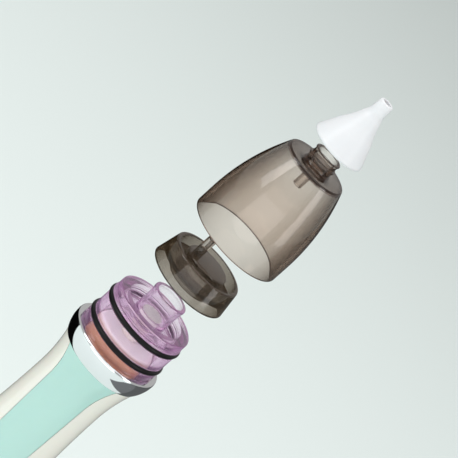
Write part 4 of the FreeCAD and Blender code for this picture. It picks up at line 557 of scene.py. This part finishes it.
# %% Turn the nozzle
low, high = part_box("nozzle_tip")
skirt = high.x / MM
tall = (high.z - low.z) / MM
flare, neck, tip_low, tip = (7.65, 9.3), (4.15, 17.2), (3.15, 20.2), 2.8
nozzle_outline = [(skirt - 0.75, 0.0, 0.35), (skirt - 0.15, 0.75, 0.5), (*flare, 0.0)]
nozzle_outline += arc(flare, neck, 0.27, 8)
nozzle_outline += arc(neck, tip_low, 0.19, 6)
nozzle_outline += [(tip, tall, 0.6), (1.7, tall, 0.3), (1.7, 16.0, 0.3), (3.4, 13.4, 0.5), (5.22, 8.2, 0.3),
                   (6.22, 7.2, 0.3), (6.22, 0.6, 0.35), (7.47, 0.6, 0.35), (7.47, 4.4, 0.4),
                   (skirt - 3.5, 4.4, 0.3), (skirt - 1.5, 0.0, 0.3)]
lathe("nozzle", nozzle_outline, low.z, "nozzle", "silicone_white", ["nozzle_tip"])

# %% [markdown]
# ## The cup
#
# A clear bell of smoke plastic. Two arcs that are not quite parallel make the wall thinner towards the
# shoulder. The spout on top, the funnel in it and the thin drip tube that hangs inside are all one moulding.

# %% Turn the cup
low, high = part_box("mucus_cup")
mouth = high.x / MM
cup_outline = [(mouth, 0.0, 0.5), (mouth, 8.0, 0.0)]
cup_outline += arc((mouth, 8.0), (13.03, 41.5), -1.73, 24)[:-1]
cup_outline += [(13.03, 41.5, 0.5), (6.2, 41.5, 0.3), (5.7, 42.0, 0.3), (5.7, 43.8, 0.1), (6.1, 43.8, 0.12),
                (6.1, 44.6, 0.12), (5.45, 44.6, 0.15), (5.45, 46.9, 0.15), (5.8, 46.9, 0.12),
                (5.8, 47.5, 0.25), (4.45, 47.5, 0.3), (4.45, 40.9, 0.2), (1.1, 40.2, 0.4), (1.1, 30.9, 0.2),
                (1.9, 30.9, 0.2), (1.9, 39.3, 0.4), (5.7, 39.3, 0.2), (5.7, 40.3, 0.3), (12.7, 40.3, 1.0)]
cup_outline += arc((12.7, 40.3), (18.2, 8.0), 1.34, 24)
cup_outline += [(18.2, 0.0, 0.3)]
cup = lathe("cup", cup_outline, low.z, "cup", "cup_smoke", ["mucus_cup"], 200)
cup.visible_shadow = False  # clear plastic lets the light through

# %% [markdown]
# ## The baffle and its chimney
#
# A low cap with a ring-shaped trough round a raised boss. The chimney is a thin tube pushed on a stub beside
# the middle of the boss. On the real cap the stub is moulded in one with the boss. Here it is a closed shape
# of its own that stands on the boss, which looks the same and keeps the cap a clean turned form.

# %% Turn the baffle
low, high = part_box("splash_baffle")
foot = high.x / MM
BAFFLE_TALL = 10.5
baffle_outline = [(foot, 0.0, 0.25), (15.3, BAFFLE_TALL, 0.5), (13.7, BAFFLE_TALL, 0.4), (14.58, 5.5, 0.5),
                  (9.3, 5.5, 0.5), (9.3, BAFFLE_TALL, 0.5), (0.0, BAFFLE_TALL, 0.0), (0.0, 9.1, 0.0),
                  (7.6, 9.1, 0.3), (7.6, 0.5, 0.25), (9.3, 0.5, 0.25), (9.3, 4.1, 0.4), (14.83, 4.1, 0.4),
                  (foot - 1.6, 0.0, 0.25)]
lathe("baffle", baffle_outline, low.z, "baffle", "baffle_smoke", ["splash_baffle"], 180)


# %% Turn the stub and the chimney beside the axis
def side_tube(name, outline, centre, base, body, slot, stands_for=()):
    """A small turned tube whose axis stands beside the main one."""
    turned = bmesh.new()
    rim = [turned.verts.new((centre[0] + radius * MM, centre[1], base + height * MM))
           for radius, height, _ in outline]
    for index, corner in enumerate(rim):
        turned.edges.new((corner, rim[(index + 1) % len(rim)]))
    for corner, (_, _, rounding) in zip(rim, outline):
        if rounding:
            bmesh.ops.bevel(turned, geom=[corner], offset=rounding * MM, offset_type="OFFSET",
                            affect="VERTICES", segments=4, profile=0.5, material=-1)
    bmesh.ops.spin(turned, geom=turned.verts[:] + turned.edges[:], axis=(0, 0, 1),
                   cent=(centre[0], centre[1], 0), angle=math.tau, steps=64, use_merge=True)
    bmesh.ops.remove_doubles(turned, verts=turned.verts[:], dist=1e-7)
    bmesh.ops.recalc_face_normals(turned, faces=turned.faces[:])
    return finish_piece(name, turned, body, slot, stands_for)


tube_low, tube_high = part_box("chimney_tube")
spot = ((tube_low.x + tube_high.x) / 2, (tube_low.y + tube_high.y) / 2)
boss_top = low.z + BAFFLE_TALL * MM
stub_outline = [(1.4, 0.02, 0.0), (1.875, 0.02, 0.0), (1.875, 3.5, 0.12), (1.4, 3.5, 0.1)]
side_tube("chimney_stub", stub_outline, spot, boss_top, "baffle", "baffle_smoke")
chimney_outline = [(0.9, 1.0, 0.1), (1.35, 1.0, 0.1), (1.35, 3.5, 0.0), (1.875, 3.5, 0.12),
                   (1.875, 8.3, 0.25), (0.9, 8.3, 0.2)]
side_tube("chimney", chimney_outline, spot, boss_top, "baffle", "chimney_clear", ["chimney_tube"])

# %% [markdown]
# ## The manifold and its seals
#
# The clear lilac head of the handle. Two grooves hold the black seals, the rim on top carries the baffle, and
# the tube in the middle leads the air down through the felt filter to the hose.

# %% Turn the manifold
low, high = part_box("air_manifold")
collar_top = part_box("collar_ring")[1].z
manifold_outline = [
    (13.2, -12.6, 0.2), (14.5, -12.6, 0.2), (14.5, -10.6, 0.1), (13.85, -10.6, 0.1), (13.85, -8.9, 0.1),
    (14.5, -8.9, 0.1), (14.5, -2.9, 0.15), (17.3, -2.9, 0.15), (17.3, 3.5, 0.12), (15.85, 3.5, 0.2),
    (15.85, 5.9, 0.2), (17.3, 5.9, 0.15), (17.3, 13.0, 0.12), (15.6, 13.0, 0.2), (15.6, 15.4, 0.2),
    (17.3, 15.4, 0.15), (17.3, 15.9, 0.15), (16.6, 16.4, 0.15), (16.6, 16.9, 0.1), (17.0, 17.1, 0.3),
    (17.0, 20.0, 0.6), (12.7, 20.0, 0.4), (12.7, 14.8, 0.6), (7.25, 14.8, 0.5), (7.25, 26.5, 0.15),
    (7.5, 26.7, 0.12), (7.5, 28.0, 0.3), (6.0, 28.0, 0.3), (6.0, 18.2, 0.4), (4.7, 18.2, 0.15),
    (4.7, 16.6, 0.1), (3.8, 16.6, 0.3), (1.5, 12.8, 0.4), (1.5, 6.0, 0.15), (2.35, 6.0, 0.15),
    (2.5, 6.3, 0.1), (2.5, 12.8, 0.3), (13.2, 12.8, 0.8)]
manifold = lathe("manifold", manifold_outline, collar_top, "handle", "manifold_lilac", ["air_manifold"], 200)
manifold.visible_shadow = False  # clear plastic lets the light through to what is inside

# %% Add the two keys at the foot of the manifold
def keys(name, reach, root, wide, low, high, body, slot):
    """Two small square lugs, one on each side, sunk into the turned wall behind them."""
    lugs = bmesh.new()
    for side in (-1, 1):
        lug = bmesh.ops.create_cube(lugs, size=1.0)
        bmesh.ops.scale(lugs, verts=lug["verts"], vec=((reach - root) * MM, wide * MM, (high - low) * MM))
        bmesh.ops.translate(lugs, verts=lug["verts"], vec=(
            side * (reach + root) / 2 * MM, 0.0, collar_top + (low + high) / 2 * MM))
    bmesh.ops.bevel(lugs, geom=lugs.edges[:], offset=0.15 * MM, offset_type="OFFSET", affect="EDGES",
                    segments=3, profile=0.5, material=-1)
    bmesh.ops.recalc_face_normals(lugs, faces=lugs.faces[:])
    return finish_piece(name, lugs, body, slot)


keys("manifold_keys", 17.7, 17.0, 5.0, 0.05, 1.8, "handle", "manifold_lilac")


# %% Round seals
def seal(name, node):
    """A rubber ring: a small circle swept once round the axis."""
    ring_low, ring_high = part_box(node)
    thick = (ring_high.z - ring_low.z) / 2
    turned = bmesh.new()
    section = bmesh.ops.create_circle(turned, segments=28, radius=thick, cap_ends=False)
    bmesh.ops.rotate(turned, verts=section["verts"], cent=(0, 0, 0),
                     matrix=Matrix.Rotation(math.radians(90), 3, "X"))
    bmesh.ops.translate(turned, verts=section["verts"],
                        vec=(ring_high.x - thick, 0, (ring_low.z + ring_high.z) / 2))
    bmesh.ops.spin(turned, geom=turned.verts[:] + turned.edges[:], axis=(0, 0, 1), cent=(0, 0, 0),
                   angle=math.tau, steps=180, use_merge=True)
    bmesh.ops.remove_doubles(turned, verts=turned.verts[:], dist=1e-7)
    bmesh.ops.recalc_face_normals(turned, faces=turned.faces[:])
    return finish_piece(name, turned, "handle", "seal_black", [node])


seal("seal_lower", "lower_o_ring")
seal("seal_upper", "upper_o_ring")

# %% [markdown]
# ## What shows through the manifold
#
# The amber boot round the pump, the milky hose and the felt disc are seen through clear plastic, so the boot
# and the hose are turned finely as well.

# %% Turn boot and hose
low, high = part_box("pump_boot")
reach = high.x / MM
boot_tall = (high.z - low.z) / MM
boot_outline = [(reach - 1.3, 0.0, 0.2), (reach, 0.0, 0.3), (reach, boot_tall, 1.2), (3.9, boot_tall, 0.3),
                (3.9, boot_tall - 1.3, 0.2), (reach - 1.3, boot_tall - 1.3, 0.6)]
lathe("boot", boot_outline, low.z, "handle", "boot_amber", ["pump_boot"], 120)

low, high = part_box("suction_hose")
hose_tall = (high.z - low.z) / MM
lathe("hose",
      [(high.x / MM, 0.0, 0.3), (high.x / MM, hose_tall, 0.3), (2.55, hose_tall, 0.2), (2.55, 0.0, 0.2)],
      low.z, "handle", "hose_clear", ["suction_hose"], 80)

# %% [markdown]
# ## The collar
#
# A polished ring shaped like a shallow bowl. It is turned again because a mirror finish shows the least
# unevenness of a curve.

# %% Turn the collar
low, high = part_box("collar_ring")
rim_r = 20.0
collar_tall = (high.z - low.z) / MM
collar_outline = [(17.95, 0.0, 0.25)]
collar_outline += arc((17.95, 0.0), (rim_r, collar_tall - 0.9), -0.58, 12)
collar_outline += [(rim_r - 0.15, collar_tall - 0.25, 0.2), (rim_r - 0.5, collar_tall, 0.2),
                   (17.42, collar_tall, 0.3), (17.42, collar_tall - 3.0, 0.1), (16.1, collar_tall - 3.0, 0.1),
                   (16.1, 0.0, 0.1)]
lathe("collar", collar_outline, low.z, "handle", "chrome", ["collar_ring"], 200)
